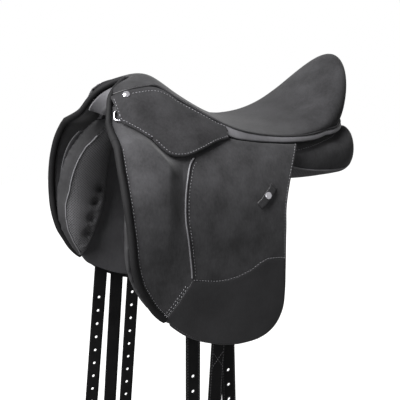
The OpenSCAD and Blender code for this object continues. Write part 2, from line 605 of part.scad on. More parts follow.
leaf_n = 22;
leaf_m = 12;
function leaf_z(i) = 112 - 270 * (i / leaf_n);
function leaf_x(z, u) = lookup(z, leaf_front) + (lookup(z, leaf_rear) - lookup(z, leaf_front)) * u;
function tuft(x, z) = max([for (q = leaf_tufts) exp(-(pow(x - q[0], 2) + pow(z - q[1], 2)) / (tuft_r * tuft_r))]);
function leaf_in(i, j) = let (t = i / leaf_n, u = j / leaf_m, z = leaf_z(i), x = leaf_x(z, u))
    5 + (leaf_t - 5) * pow(max(0.0001, 1 - pow(abs(2 * u - 1), 2.6)), 0.55)
        * pow(max(0.0001, 1 - pow(abs(2 * t - 1), 5)), 0.6) - tuft_d * tuft(x, z);
function leaf_p(i, j, outer) = let (z = leaf_z(i), x = leaf_x(z, j / leaf_m))
    side_p([x, z], outer ? panel_o : panel_o - leaf_in(i, j));
module panel_front_left() {
    color([0.22, 0.22, 0.23])
        slab([for (i = [0:leaf_n]) [for (j = [0:leaf_m]) leaf_p(i, j, true)]],
            [for (i = [0:leaf_n]) [for (j = [0:leaf_m]) leaf_p(i, j, false)]]);
}

// Web that carries the girth straps, with its rivets
module girth_web_left() {
    color([0.18, 0.18, 0.18])
        intersection() {
            union() {
                arc_shell(web_o0, web_o1, 0, 35, 70, 180);
                hang_slab(web_o0, web_o1, 70, 180, -80);
            }
            seen_from_side([[72, 90], [176, 90], [176, -34], [128, -34], [116, -76], [72, -76]]);
        }
}
function strap_spots(middle_x) = [[strap_front_x, pivot_z, strap_o[1]], [middle_x, pivot_z, strap_o[0]],
    [strap_rear_x, rear_pivot_z, strap_o[2]]];
spots_left = strap_spots(strap_middle_left);
spots_right = strap_spots(strap_middle_right);
module girth_rivets(spots) {
    color([0.4, 0.4, 0.42])
        for (s = spots)
            let (y0 = side_y(s[1], web_o1) + 0.4, y1 = side_y(s[1], s[2]) - 0.2)
                translate([s[0], y0, s[1]])
                    rotate([-90, 0, 0])
                        cylinder(h = y1 - y0, r = pivot_r);
}

// One girth strap, hung from its rivet; lean is the angle forward
module hole(z) {
    translate([0, flap_y - 60, z])
        rotate([-90, 0, 0])
            cylinder(h = 60, r = hole_d / 2);
}
module strap(spot, lean, first) {
    translate([spot[0], 0, spot[1]])
        rotate([0, -lean, 0])
            translate([0, 0, -spot[1]])
                difference() {
                    intersection() {
                        union() {
                            arc_shell(spot[2] - strap_t, spot[2], 0, 30, -strap_w / 2, strap_w / 2);
                            hang_slab(spot[2] - strap_t, spot[2], -strap_w / 2, strap_w / 2, strap_end_z);
                        }
                        seen_from_side([[-strap_w / 2, spot[1] + 12], [strap_w / 2, spot[1] + 12],
                            [strap_w / 2, strap_end_z + 16], [strap_w / 5, strap_end_z],
                            [-strap_w / 5, strap_end_z], [-strap_w / 2, strap_end_z + 16]]);
                    }
                    translate([0, flap_y - 60, spot[1]])
                        rotate([-90, 0, 0])
                            cylinder(h = 80, r = pivot_r + pivot_gap);
                    if (first > 0)
                        for (k = [0:hole_n - 1])
                            hole(spot[1] - first - k * hole_pitch);
                }
}
module girth_strap_left_front() {
    color([0.07, 0.07, 0.07])
        strap(spots_left[0], 0.2, first_hole_left);
}
module girth_strap_left_middle() {
    color([0.07, 0.07, 0.07])
        strap(spots_left[1], 3.6, 0);
}
module girth_strap_left_rear() {
    color([0.07, 0.07, 0.07])
        strap(spots_left[2], -2.1, first_hole_left - 31);
}
module girth_strap_right_front() {
    color([0.07, 0.07, 0.07])
        right_side()
            strap(spots_right[0], 6.3, first_hole_right);
}
module girth_strap_right_middle() {
    color([0.07, 0.07, 0.07])
        right_side()
            strap(spots_right[1], 5, 0);
}
module girth_strap_right_rear() {
    color([0.07, 0.07, 0.07])
        right_side()
            strap(spots_right[2], 5.2, first_hole_right - 39);
}

// Stirrup bar in the notch of the flap, with its thumb catch
bar_x1 = 178;
bar_x0 = bar_x1 - bar_l;
bar_a0 = up_angle(90);
bar_a1 = up_angle(97.1);
base_a0 = up_angle(86.4);
bar_mid = (bar_a0 + bar_a1) / 2;
bar_o1 = 3;
bar_o0 = bar_o1 - 7;
base_o1 = bar_o0 - bar_slot;
catch_x = bar_x0 + 5;
catch_l = 11;
catch_w = 7.2;
catch_t = 3.2;
module stirrup_bar_left() {
    color([0.6, 0.6, 0.62])
        union() {
            arc_shell(base_o1 - 4, base_o1, base_a0, rail_a0 - 0.07, bar_x0 - 3, bar_x1 + 4);
            arc_shell(base_o1 - 2, bar_o1, bar_a0, bar_a1, bar_x1 - 9, bar_x1);
            arc_shell(bar_o0, bar_o1, bar_a0, bar_a1, bar_x0 + 11, bar_x1 - 5);
            arc_shell(bar_o0, bar_o0 + 2.6, bar_a0, bar_a1, bar_x0, bar_x0 + 15);
            on_curve(catch_x, bar_mid, bar_o0 + 1)
                cylinder(h = 5, r = catch_pin_r);
        }
}
module stirrup_catch_left() {
    color([0.5, 0.5, 0.52])
        on_curve(catch_x, bar_mid, bar_o0 + 2.6 + 0.4)
            difference() {
                union() {
                    translate([-catch_l, -catch_w / 2, 0])
                        cube([catch_l, catch_w, catch_t]);
                    cylinder(h = catch_t, r = catch_w / 2);
                    translate([-catch_l, 0, 0])
                        cylinder(h = catch_t, r = catch_w / 2);
                }
                translate([0, 0, -1])
                    cylinder(h = 6, r = catch_pin_r + pivot_gap);
            }
}

// Dee ring and its chape under the front of a skirt
dee_o = dee_wire / 2 + chape_t + lie_gap;
dee_c = 6;
dee_top = head_s(dee_x, dee_z);
dee_fore = unit(head_s(dee_x + 1, dee_z) - head_s(dee_x - 1, dee_z));
dee_out = unit(cross(dee_fore, head_s(dee_x, dee_z - dee_reach) - dee_top));
dee_down = cross(dee_out, dee_fore);
dee_at = dee_top + dee_o * dee_out;
module at_dee() {
    multmatrix([for (k = [0:2]) [dee_fore[k], dee_down[k], dee_out[k], dee_at[k]]])
        children();
}
module dee_ring_left() {
    rx = dee_w / 2 - dee_wire / 2;
    ry = dee_h - dee_wire;
    color([0.82, 0.82, 0.84])
        at_dee()
            union() {
                translate([-rx + dee_c, 0, 0])
                    rotate([0, 90, 0])
                        cylinder(h = 2 * rx - 2 * dee_c, r = dee_wire / 2);
                translate([-rx + dee_c, ry, 0])
                    rotate([0, 90, 0])
                        cylinder(h = 2 * rx - 2 * dee_c, r = dee_wire / 2);
                for (s = [-1, 1])
                    translate([s * rx, dee_c, 0])
                        rotate([-90, 0, 0])
                            cylinder(h = ry - 2 * dee_c, r = dee_wire / 2);
                for (q = [[rx - dee_c, ry - dee_c, 0], [-rx + dee_c, ry - dee_c, 90], [-rx + dee_c, dee_c, 180],
                        [rx - dee_c, dee_c, 270]])
                    translate([q[0], q[1], 0])
                        rotate([0, 0, q[2]])
                            rotate_extrude(angle = 90)
                                translate([dee_c, 0])
                                    circle(r = dee_wire / 2);
            }
}
module dee_chape_left() {
    color([0.1, 0.1, 0.1])
        at_dee()
            difference() {
                union() {
                    translate([-chape_w / 2, 0, 0])
                        rotate([0, 90, 0])
                            cylinder(h = chape_w, r = dee_wire / 2 + chape_t);
                    translate([-chape_w / 2, -chape_l, -dee_wire / 2 - chape_t])
                        cube([chape_w, chape_l, 2]);
                }
                translate([-10, 0, 0])
                    rotate([0, 90, 0])
                        cylinder(h = 20, r = dee_wire / 2 + dee_gap);
            }
}

module tree_side_right() { right_side() tree_side_left(); }
module skirt_right() { right_side() skirt_left(); }
module skirt_lobe_right() { right_side() skirt_lobe_left(); }
module skirt_rivet_right() { right_side() skirt_rivet_left(); }
module flap_head_right() { right_side() flap_head_left(); }
module flap_right() { right_side() flap_left(); }
module flap_roll_right() { right_side() flap_roll_left(); }
module knee_block_right() { right_side() knee_block_left(); }
module flap_foot_right() { right_side() flap_foot_left(); }
module flap_piping_right() { right_side() flap_piping_left(); }
module keeper_right() { right_side() keeper_left(); }
module keeper_stud_right() { right_side() keeper_stud_left(); }
module sweat_flap_right() { right_side() sweat_flap_left(); }
module panel_right() { right_side() panel_left(); }
module panel_front_right() { right_side() panel_front_left(); }
module girth_web_right() { right_side() girth_web_left(); }
module girth_rivets_left() { girth_rivets(spots_left); }
module girth_rivets_right() { right_side() girth_rivets(spots_right); }
module stirrup_bar_right() { right_side() stirrup_bar_left(); }
module stirrup_catch_right() { right_side() stirrup_catch_left(); }
module dee_ring_right() { right_side() dee_ring_left(); }
module dee_chape_right() { right_side() dee_chape_left(); }

seat();
seat_welt();
seat_band();
tree();
tree_side_left();
tree_side_right();
gullet_plate();
gullet_screws();
gullet_lining();
pommel_roll();
skirt_left();
skirt_right();
skirt_lobe_left();
skirt_lobe_right();
skirt_rivet_left();
skirt_rivet_right();
flap_head_left();
flap_head_right();
flap_left();
flap_right();
flap_roll_left();
flap_roll_right();
knee_block_left();
knee_block_right();
flap_foot_left();
flap_foot_right();
flap_piping_left();
flap_piping_right();
keeper_left();
keeper_right();
keeper_stud_left();
keeper_stud_right();
sweat_flap_left();
sweat_flap_right();
panel_left();
panel_right();
panel_front_left();
panel_front_right();
girth_web_left();
girth_web_right();
girth_rivets_left();
girth_rivets_right();
girth_strap_left_front();
girth_strap_left_middle();
girth_strap_left_rear();
girth_strap_right_front();
girth_strap_right_middle();
girth_strap_right_rear();
stirrup_bar_left();
stirrup_bar_right();
stirrup_catch_left();
stirrup_catch_right();
dee_ring_left();
dee_ring_right();
dee_chape_left();
dee_chape_right();
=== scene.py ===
import math

import bmesh
import bpy
import numpy as np
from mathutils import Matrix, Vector
from mathutils.geometry import delaunay_2d_cdt


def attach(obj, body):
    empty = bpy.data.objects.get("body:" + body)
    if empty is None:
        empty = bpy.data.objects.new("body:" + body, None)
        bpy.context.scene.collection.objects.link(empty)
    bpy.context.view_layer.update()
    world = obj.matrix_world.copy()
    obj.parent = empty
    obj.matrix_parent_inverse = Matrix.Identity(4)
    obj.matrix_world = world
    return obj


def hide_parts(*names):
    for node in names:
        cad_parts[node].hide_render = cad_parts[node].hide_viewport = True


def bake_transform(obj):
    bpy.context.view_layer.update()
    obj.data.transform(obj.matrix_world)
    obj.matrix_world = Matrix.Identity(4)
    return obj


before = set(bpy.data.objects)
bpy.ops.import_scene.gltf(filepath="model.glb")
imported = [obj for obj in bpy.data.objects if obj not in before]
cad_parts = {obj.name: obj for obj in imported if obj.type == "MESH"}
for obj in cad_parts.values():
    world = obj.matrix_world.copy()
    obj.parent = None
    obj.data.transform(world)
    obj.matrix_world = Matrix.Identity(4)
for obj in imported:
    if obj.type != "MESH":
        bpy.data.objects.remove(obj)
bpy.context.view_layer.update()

# Lengths are in millimetres until a mesh is made
MM = 0.001
SIDES = ("left", "right")

# The side surface that carries flaps, skirts, straps and panels
FLAP_Y = 174.0
ARC_R = 240.0
ARC_Z = -60.0
ARC_Y = FLAP_Y - ARC_R
BEND_Z = 109.0

# Layers, as distances outward from the outer face of a flap
FLAP_T = 5.0
SKIRT_LOW = 4.5
SKIRT_HIGH = 8.5
SWEAT_LOW = -24.6
SWEAT_HIGH = -21.6
PANEL_O = -25.2
FOOT_LOW = 0.3
FOOT_HIGH = 2.0

# Flaps: points are x and height on the outer face
FLAP_FOOT = [
    (203, -180), (192, -190.5), (175, -204), (144, -221.5), (104, -235.5), (70, -241.5), (31, -239),
    (4, -224), (-11.5, -198), (-15.5, -167), (-15.5, -124), (-14.5, -57), (-17, -15), (-33, 28),
    (-60.5, 74.5)]
FLAP_TOP = [(-30, 78), (12, 83.5), (50, 91), (68, 96.5)]
HEAD_TOP = [(66, 105), (83, 117), (108, 129), (130, 138), (148, 143), (165, 146), (222, 148.7)]
HEAD_FRONT = [(231.8, 149.2), (233, 146.7), (236, 139.8), (238.8, 133), (243, 124), (247, 113)]
# How far the head of a flap draws in at the pommel: height, amount
HEAD_IN = [
    (103, 0), (110, 9), (117, 18.5), (124, 26), (133, 24.5), (140, 20), (147, 14.3), (153.4, 8), (160, 0.5),
    (170, 0)]
DRAW_X = (192, 243)
# Padded roll down the front of a flap
ROLL = [
    (256.8, 99), (259.5, 86), (262, 70), (263.5, 50), (264.5, 25), (264.5, -5), (263.5, -40), (261, -72),
    (253, -105), (242, -127), (231.5, -146), (220, -160), (212, -167)]
ROLL_R = 6.0
ROLL_SIDES = 24
# Gap from a roll to the edge of its flap, and how far off the roll the flap is sewn
ROLL_GAP = 0.4
ROLL_SEWN = 1.6
# Points of the arch that the roll of a flap laps, and how much thinner it starts there
ROLL_LAP = 8
ROLL_TAPER = 1.6
# Roll over the pommel, from the head of the left flap to the middle
ARCH = [
    (255.9, 102.2, 105), (252.8, 83.6, 113), (248.1, 61.9, 124), (243.8, 52.2, 133), (241, 47, 139.8),
    (238, 41.7, 146.7), (234.7, 35.8, 153.4), (230.9, 30.5, 159.5), (225.5, 25.4, 165.5),
    (219.1, 20.2, 170.7), (211.7, 15.2, 175.3), (203, 10.4, 179.8), (195, 5.2, 182.8), (191, 0, 184)]
ARCH_R = 4.6
# Height below which the arch widens to the roll of a flap, and over what drop
ARCH_WIDENS = (130, 22)
# Left half of the gullet lining: front point, then angle up the curve and x of the throat
LINING = [
    ((236.5, 44.5, 131), 54.8, 205), ((235.8, 42.5, 136), 57, 207), ((233, 37, 143.5), 60, 207),
    ((229.5, 31.5, 150), 62.5, 206), ((225.5, 26.5, 156), 65, 203.5), ((220, 21.5, 161.5), 67.3, 200),
    ((213.5, 16.5, 166.5), 69, 196.5), ((206, 11.5, 171), 70.6, 193), ((197.5, 6, 174.5), 71.8, 190.5)]
# Its layer, thickness and rear x, then the front point and the throat in the middle
LINING_O = -21.8
LINING_T = 1.6
LINING_BACK = 160
LINING_MIDDLE = (194, 0, 176.5)
LINING_THROAT = 189.5
# Way down through the lining at its front edge
LINING_DOWN = (0.55, 0.35, 0.75)
# Steps from the front edge to the throat: share of the front edge, rise
LINING_STEPS = [(0.62, 0.8), (0.28, 0.5)]
# Cut-out of a flap round the stirrup bar and its catch
NOTCH = [(98, 88.4), (117, 88.4), (117, 85.8), (186, 85.8), (186, 106), (98, 106)]
# Lobe of a skirt: lower edge, then the ends of its bend line
LOBE = [
    (198.6, 105), (187, 90), (177, 83), (161, 80), (144, 81), (122, 86), (96, 93), (78, 96.5), (66, 98.5)]
LOBE_ENDS = (199, 65.3)
# x where the lobe starts, depth of its square edge at the bend, and how far in it is sewn
LOBE_FRONT = 198.5
LOBE_SQUARE = 2.5
LOBE_SEWN = 3.0
# Smooth foot of a flap: upper edge, rest and front edge
FOOT_TOP = [
    (165, -111), (130, -120), (105, -123), (80, -121), (56, -115), (38, -106), (23, -102), (6, -103),
    (-11.5, -106)]
FOOT_REST = [
    (-12.5, -165), (-8.5, -196), (5, -221), (32, -235.5), (70, -238), (104, -232), (143, -218.5),
    (173, -201), (190, -187.5), (200, -178.5), (208, -171)]
FOOT_FRONT = [(211, -164.5), (205, -158), (194, -147), (181, -132.6), (171, -119.6)]
# Piping behind the knee block, its radius and layer
PIPING = [(139, 73), (150, 62), (163, 35), (170, 11), (173, -15), (170, -51), (166, -90), (165, -106)]
PIPING_R = 1.4
PIPING_O = 1.2
# Outline of a sweat flap
SWEAT = [
    (236, 88), (246, 70), (253, 40), (256, 0), (255, -40), (250, -80), (241, -112), (227, -145),
    (211, -174), (188, -189), (164, -202), (137, -213), (105, -220), (70, -223), (38, -217), (12, -200),
    (2, -170), (2, -100), (4, 0), (8, 50), (16, 88)]

# Knee block: its limits as height, then x
KNEE_FRONT = [
    (-100, 240), (-75, 249), (-44, 254), (-4, 256), (36, 256), (67, 254), (87, 251), (105, 247), (130, 240)]
KNEE_REAR = [
    (-100, 180), (-75, 178), (-44, 174), (-27, 173), (17, 169), (46, 164), (62, 158), (74, 152), (90, 150),
    (130, 150)]
# How far the knee block rises from the flap: height, rise
KNEE_RISE = [
    (-100, 0), (-75, 0.6), (-58, 2), (-30, 5), (0, 9), (30, 12.6), (55, 15), (80, 15.6), (100, 15),
    (130, 14)]
KNEE_TOP = 130.0
KNEE_FOOT = -98.0
# Share of the block's length that slopes up, run of its fall at the rear and of its fall below the skirt
KNEE_SLOPE = 0.62
KNEE_FALL = 34.0
KNEE_CLEAR = 32.5
# Power of the slope, share of the height that is left under the skirt, rows and points of the skin
KNEE_POWER = 0.9
KNEE_HIDDEN = 0.04
KNEE_GRID = (110, 60)
# How far the skin laps its limits at front and rear, is sunk at its edge and goes down into the flap
KNEE_LAP = (1, 3)
KNEE_SUNK = 0.25
KNEE_ROOT = 1.5

# Front panel cushion: its limits as height, then x
LEAF_FRONT = [
    (-158, 226), (-152, 231), (-140, 239), (-122, 249), (-100, 258), (-75, 264), (-50, 265), (-25, 263),
    (0, 260), (25, 255), (50, 248), (75, 238), (95, 229), (112, 218)]
LEAF_REAR = [
    (-158, 223), (-152, 218), (-140, 209), (-122, 198), (-100, 187), (-75, 176), (-50, 170), (-25, 168),
    (0, 167), (112, 170)]
# Share of its width that lies before its seam: height, share
LEAF_SEAM = [
    (-158, 0.3), (-130, 0.14), (-100, 0.1), (-50, 0.11), (-20, 0.15), (40, 0.145), (75, 0.15), (95, 0.25),
    (112, 0.45)]
LEAF_TUFTS = [(185, -25), (194, -53), (203, -83), (210, -111)]
# Thickness in the middle, at the rim and at least, top and drop, rows and points of its grid
LEAF_T = 30.0
LEAF_RIM = 5.0
LEAF_LEAST = 4.0
LEAF_TOP = 112.0
LEAF_DROP = 270.0
LEAF_GRID = (90, 44)
# Powers of its crown: across the width and down the height
LEAF_CROWN = ((2.6, 0.55), (5, 0.6))
# Piping in its seam: radius, how far it stands out and shares of the drop where it starts and ends
LEAF_PIPING_R = 1.3
LEAF_PIPING_OUT = 0.4
LEAF_PIPING_RUN = (0.06, 0.97)
# Depth of the rim that is held, and how far round the seam and round a tuft
LEAF_HELD = (9, 3.2, 3.4)
# Depth and radius of a tuft, and how far the leather sags round it and in what radius
TUFT_D = 15.0
TUFT_R = 7.5
TUFT_SAG = 5.0
TUFT_SAG_R = 19.5

# Rows of the seat: middle x and z, edge x, y and z, fullness
SEAT_ROWS = [
    (183, 187, 227, 35, 168.5, 2.0), (174, 190, 208, 44, 175.2, 2.0), (162, 191, 186, 47.5, 178.7, 2.0),
    (148, 187.5, 163, 50.5, 180, 2.0), (131, 176.5, 148, 55, 172.5, 2.0), (112, 161.5, 130, 65, 159, 2.2),
    (88, 144.5, 108, 80, 144, 2.2), (60, 128, 83, 97, 127, 2.4), (28, 114.5, 50, 111.5, 109.5, 2.4),
    (-5, 106, 12, 118, 98, 2.4), (-38, 101.5, -30, 120, 90.5, 2.3), (-72, 102.5, -48, 121, 88.8, 2.2),
    (-108, 112, -62, 121.5, 87.8, 2.1), (-140, 129.5, -74, 121.5, 87.2, 2.0),
    (-170, 152.5, -84, 120.5, 86.8, 2.0), (-197, 177.5, -92, 119.5, 86.5, 2.0),
    (-217, 196, -98, 118.5, 86.3, 2.0), (-229.5, 202.5, -103, 117.5, 86.1, 2.0),
    (-237, 197, -108, 116.5, 86.2, 2.0), (-238.5, 181.5, -113, 115.5, 86.4, 2.0),
    (-235.5, 157, -118, 114.3, 86.8, 2.0), (-229.5, 132, -123, 113, 87.3, 2.0),
    (-222.5, 112, -128, 111.5, 87.9, 2.0), (-217, 97, -133, 110, 88.5, 2.0)]
# Rows of the under side of the seat: middle x and z
SEAT_FLOOR = [
    (180, 166.3), (176, 166.8), (163, 167.3), (149, 164.8), (132, 154.8), (112, 140.8), (88, 125.8),
    (60, 110.8), (28, 97.8), (-5, 88.8), (-38, 84.8), (-70, 85.8), (-104, 91.8), (-134, 102.8),
    (-160, 119.8), (-182, 139.8), (-197, 151.8), (-205, 155.8), (-209, 150.8), (-211, 138.8), (-210, 122.8),
    (-207, 105.8), (-203, 90.8), (-198, 77.8)]
# How far its edge is set in: x, y and z, in the first row and the others
SEAT_INSET_FRONT = (13, 10, 6)
SEAT_INSET = (0, 9, 6)
SEAT_FLOOR_FULL = 2.0
# Points across a row, and the first row that bends round the cantle
SEAT_ACROSS = 57
SEAT_BENT = 10
# The seam takes every fourth point of the last row
SEAM_STEP = 4
WELT_R = 1.7
WELT_GAP = 0.4
# Rise of the welt under the cantle: height, where it starts and over what run
WELT_RISE = 1.4
WELT_RISE_X = -84.0
WELT_RISE_RUN = 30.0
# Ridge of the band under the seat: x, how far out from the seam and how far below it
BAND_RIDGE = [
    (-215, 4.5, 7.5), (-150, 5, 8), (-84, 6, 9), (-30, 7, 9.2), (12, 5.4, 11), (50, 5.6, 15), (62, 4.8, 16),
    (72, 3.0, 15)]
# Section of the band: share of the ridge's way out plus a length, and the same upward
BAND_PROFILE = [
    (0, 0.4, 0, -2.4), (0.35, 0.9, 0, -2.9), (0.62, 0.9, -0.52, 0), (0.86, 0.5, -0.78, 0), (1, 0, -0.94, 0),
    (1, 0.2, -1, -0.6), (1, -0.5, -1, -1.9), (1, -2, -1, -2.8), (0, 0.4, -1, -3)]
# Front end of the band, and the first point of the seam that it follows
BAND_END = (72, 103.5, 121.5)
BAND_FIRST = 8
# Loops of a rear panel cushion: x, middle y and z, half width, half height
PANEL_ROWS = [
    (-232, 66, 31, 6, 9), (-230, 66, 32.5, 12, 19), (-225, 67, 36, 19, 29), (-216, 69, 39.5, 26.5, 38),
    (-204, 72, 41, 33, 41.5), (-188, 75, 38, 37.5, 39), (-166, 77, 35.5, 40.5, 35.5),
    (-138, 80, 36, 42.5, 34.5), (-105, 82, 36.5, 43.5, 33.5), (-70, 82, 37, 42.5, 32),
    (-35, 79, 38, 39.5, 30), (0, 75, 41, 35, 28), (40, 71, 45, 31.5, 27), (80, 67.5, 50, 29, 26.5),
    (120, 64, 56, 27, 26), (145, 62, 59, 24, 23), (158, 61, 60, 18, 17), (164, 60.5, 60, 9, 9)]
PANEL_TURNS = 72
# Squareness of a rear panel cushion: x, power of the curve
PANEL_POWER = [(-233, 1.0), (-212, 0.95), (-190, 0.82), (-155, 0.72)]
# Angle where its inner side starts, x from which its piping holds it down, x past which all of it is held
PANEL_INNER = 2.4
PANEL_FREE = (-196, 20)
# Angles that are held beside the piping and below the stitches
PANEL_HELD = (0.09, 0.06)
# Seams round a rear panel cushion: x, then angle up from the outer side
PANEL_PIPING = [
    (-214, -0.76), (-200, -0.69), (-182, -0.614), (-145, -0.489), (-112, -0.363), (-85, -0.22),
    (-57, -0.044), (-20, 0.12), (60, 0.2)]
PANEL_STITCHES = [
    (-186, 1.45), (-178, 1.35), (-132, 0.975), (-104, 0.78), (-77, 0.68), (-40, 0.6), (0, 0.55)]
# Columns of the fixed part of a skirt: x, upper y and z, lower z, how far it stands off the flap
SKIRT_COLS = [
    (232.3, 39.5, 166, 139, 1.5), (231.3, 41.5, 167.5, 133, 1.8), (229, 43, 168.5, 129.7, 2),
    (223.5, 44.8, 171, 126.2, 2), (217, 46.3, 173, 121.8, 1.6), (211, 47.6, 174.5, 117.3, 0.8),
    (205, 48.6, 175.5, 112.8, 0.2), (198, 49.8, 176.5, 109, 0), (185, 51.6, 178, 109, 0),
    (172, 53.4, 178.8, 109, 0), (160, 55.5, 176.5, 109, 0), (148, 59.3, 170.5, 109, 0),
    (138, 63.7, 162.5, 109, 0), (128, 69, 154.5, 109, 0), (116, 77.5, 146.5, 109, 0),
    (104, 86, 138.5, 109, 0), (92, 94, 130.5, 109, 0), (80, 101.5, 122.2, 109, 0), (70, 107, 117, 109, 0),
    (65, 109.5, 114, 109, 0)]
# Lower edge of a skirt seen from the side, which the knee block stays clear of
SKIRT_EDGE = [(120, 87), *LOBE[:5], *((col[0], col[3]) for col in SKIRT_COLS[1:7]), (250, 150)]
# Rows of its grid, bulge of its edge as a share of the thickness, how far it is sunk under the seat
SKIRT_STEPS = 22
SKIRT_BULGE = 0.45
SKIRT_SUNK = 2.0
# First smoothed column that is sewn at the seat, and the column that is sewn down the front
SKIRT_SEWN_FROM = 24
SEWN_COLUMN = 3
# Shares of the way down, from first to last, where it is sewn: at the seat, at the lower edge, down the front
SEWN_AT_SEAT = (0.1, 0.1)
SEWN_AT_EDGE = (0.95, 0.985)
SEWN_DOWN = (0.15, 0.93)
# How its curve bows: under the seat, and before the lobe, where it hangs free
SKIRT_BOW_TOP = (0.37, 0.24)
SKIRT_BOW_FREE = (0.293, 0.427)
SKIRT_FREE_X = (198, 212)
# How much nearer to the flap it lies at its rear end, and the x between which it closes
SKIRT_CLOSE = 3.6
SKIRT_CLOSE_X = (102, 66)

# Cloth under pressure for the panel cushions: size of a mesh step, pressure and frames
CLOTH_STEP = 4.5
CLOTH_PRESSURE = 4.0
CLOTH_FRAMES = 20
# How much smaller a cushion starts and how far a point may move: rear and front
PANEL_SWELL = (0.8, 2.5)
LEAF_SWELL = (1.5, 6.0)

# Girth straps
STRAP_W = 26.5
STRAP_T = 3.0
STRAP_END = -540.0
STRAP_HEAD = 12.0
STRAP_TIP = 16.0
# How far in from its sides, and from its head and its shoulders, a strap is sewn
STRAP_SEWN = 3.0
STRAP_SEWN_END = 4.0
HOLE_R = 2.7
HOLE_SIDES = 16
HOLE_PITCH = 27.5
HOLE_N = 9
# Sewn cross on a middle strap: top, drop and half width
CROSS_Z = -250.0
CROSS_DROP = 24.0
CROSS_HALF = 9.0
# Places of the rivet left and right, its height, outer layer, leans and ways down to the first holes
STRAPS = {
    "front": ((156, 156), -20, -10.4, (0.2, 6.3), (263, 238)),
    "middle": ((98, 124), -20, -6.2, (3.6, 5.0), (0, 0)),
    "rear": ((95, 95), -60, -14.6, (-2.1, 5.2), (232, 199))}

# Keeper: x, angle up the curve, turn, half length and width, corner, layers
KEEPER_X = 22.0
KEEPER_ANGLE = 15.49
KEEPER_TURN = 42.0
KEEPER_HALF = (21.5, 6.5)
KEEPER_CORNER = 1.6
KEEPER_LOW = 0.3
KEEPER_HIGH = 2.5
# Half length that stands off the flap, how far, and over what ramp at each end
KEEPER_LOOP = 18.5
KEEPER_STAND = 3.2
KEEPER_RAMP = 5.0

# Meshes: sides of a thin cord, steps round a sheet's edge, step round a hole, degrees of a sharp edge
CORD_SIDES = 10
EDGE_TURNS = 6
HOLE_STEP = 1.2
SHARP_ANGLE = 38
# Rings of a stitch: share of its length, share of its radius, how far out in radii
STITCH_SIDES = 6
STITCH_RINGS = ((-0.5, 0.4, -0.3), (-0.28, 1, 0.5), (0.28, 1, 0.5), (0.5, 0.4, -0.3))

# Stage, in metres: softboxes have a name, place, size and power
FLOOR_REACH = 2.2
FLOOR_GAP = 0.02
# Tone of the floor in the light that it throws back and to the camera, and its glow to the camera
FLOOR_TONES = (0.16, 0.86)
FLOOR_GLOW = 1.32
FLOOR_GLOW_SHARE = 0.7
WORLD_LIGHT = 0.08
WORLD_MIRRORED = 0.4
LIGHT_AIM = (0.05, 0.0, -0.02)
SOFTBOXES = [
    ("top", (1.2, 0.2, 1.55), 1.2, 112), ("fill", (0.6, 2.0, 0.4), 1.2, 7),
    ("front", (2.0, 0.55, 0.35), 0.9, 34), ("back", (-0.9, -2.0, 0.9), 1.2, 16)]
# Camera fitted to the photograph
CAMERA_SPOT = (0.7498, 1.2121, 0.3613)
CAMERA_AIM = (0.05, 0.0, -0.04)
CAMERA_LENS = 73.8


# Lines and points

def unit(vectors):
    """Vectors of length 1 in the same directions."""
    return vectors / np.linalg.norm(vectors, axis=-1, keepdims=True)


def eased(t):
    """Smooth step from 0 to 1."""
    t = np.clip(t, 0, 1)
    return t * t * (3 - 2 * t)


def full_turn(n):
    """Angles of n points round a circle."""
    return np.linspace(0, 2 * math.pi, n, endpoint=False)


def lookup(table, at):
    """Value at a place in a table of pairs."""
    rows = np.array(sorted(table), float)
    return np.interp(at, rows[:, 0], rows[:, 1])


def smooth(points, n):
    """Smooth line through points, n steps between two of them."""
    p = np.array(points, float)
    last = len(p) - 1
    out = []
    for i in range(last):
        a, b, c, d = p[max(i - 1, 0)], p[i], p[i + 1], p[min(i + 2, last)]
        for k in range(n):
            t = k / n
            out.append(0.5 * (2 * b + (c - a) * t + (2 * a - 5 * b + 4 * c - d) * t * t
                              + (3 * b - a - 3 * c + d) * t ** 3))
    return np.array([*out, p[last]])


def run_along(points):
    """Distance of each point from the first, along the line."""
    return np.concatenate([[0], np.cumsum(np.linalg.norm(np.diff(points, axis=0), axis=1))])


def at_runs(rows, run, at):
    """Rows that lie at the distances run, read at the distances at."""
    return np.stack([np.interp(at, run, column) for column in rows.T], axis=1)


def spaced(points, step, closed=False):
    """The same line with points at equal distances."""
    p = np.array(points, float)
    if closed:
        p = np.vstack([p, p[:1]])
    run = run_along(p)
    count = max(3, int(round(run[-1] / step)) + (0 if closed else 1))
    return at_runs(p, run, np.linspace(0, run[-1], count, endpoint=not closed))


def beside(line, d):
    """Line beside another in a plane, off by d to the right of the way along it."""
    t = unit(np.gradient(line, axis=0))
    return line + d * np.stack([t[:, 1], -t[:, 0]], axis=1)


def pushed(line, d, h):
    """Line moved outward in plan by d and up by h."""
    t = np.gradient(line, axis=0)
    out = unit(np.stack([t[:, 1], -t[:, 0], np.zeros(len(t))], axis=1))
    return line + d * out + h * np.array((0, 0, 1))


def both_halves(left):
    """Left half, from outside to the middle, followed by its mirror image."""
    return np.vstack([left, left[-2::-1] * (1, -1, 1)])


def rows_between(zs, front, rear, shares):
    """Grids of x and z with a row at each height, which runs from one limit to the other."""
    xs = front[:, None] + (rear - front)[:, None] * shares
    return xs, np.broadcast_to(zs[:, None], xs.shape)


def on_side(x, z, o, ref=0.0):
    """Points of the side surface: z is the height of the layer ref, o the distance outward."""
    x, z, o = np.broadcast_arrays(np.asarray(x, float), np.asarray(z, float), np.asarray(o, float))
    a = np.arcsin(np.clip((z - ARC_Z) / (ARC_R + ref), 0, 1))
    y = np.where(z > ARC_Z, ARC_Y + (ARC_R + o) * np.cos(a), FLAP_Y + o)
    h = np.where(z > ARC_Z, ARC_Z + (ARC_R + o) * np.sin(a), z)
    return np.stack([x, y, h], axis=-1)


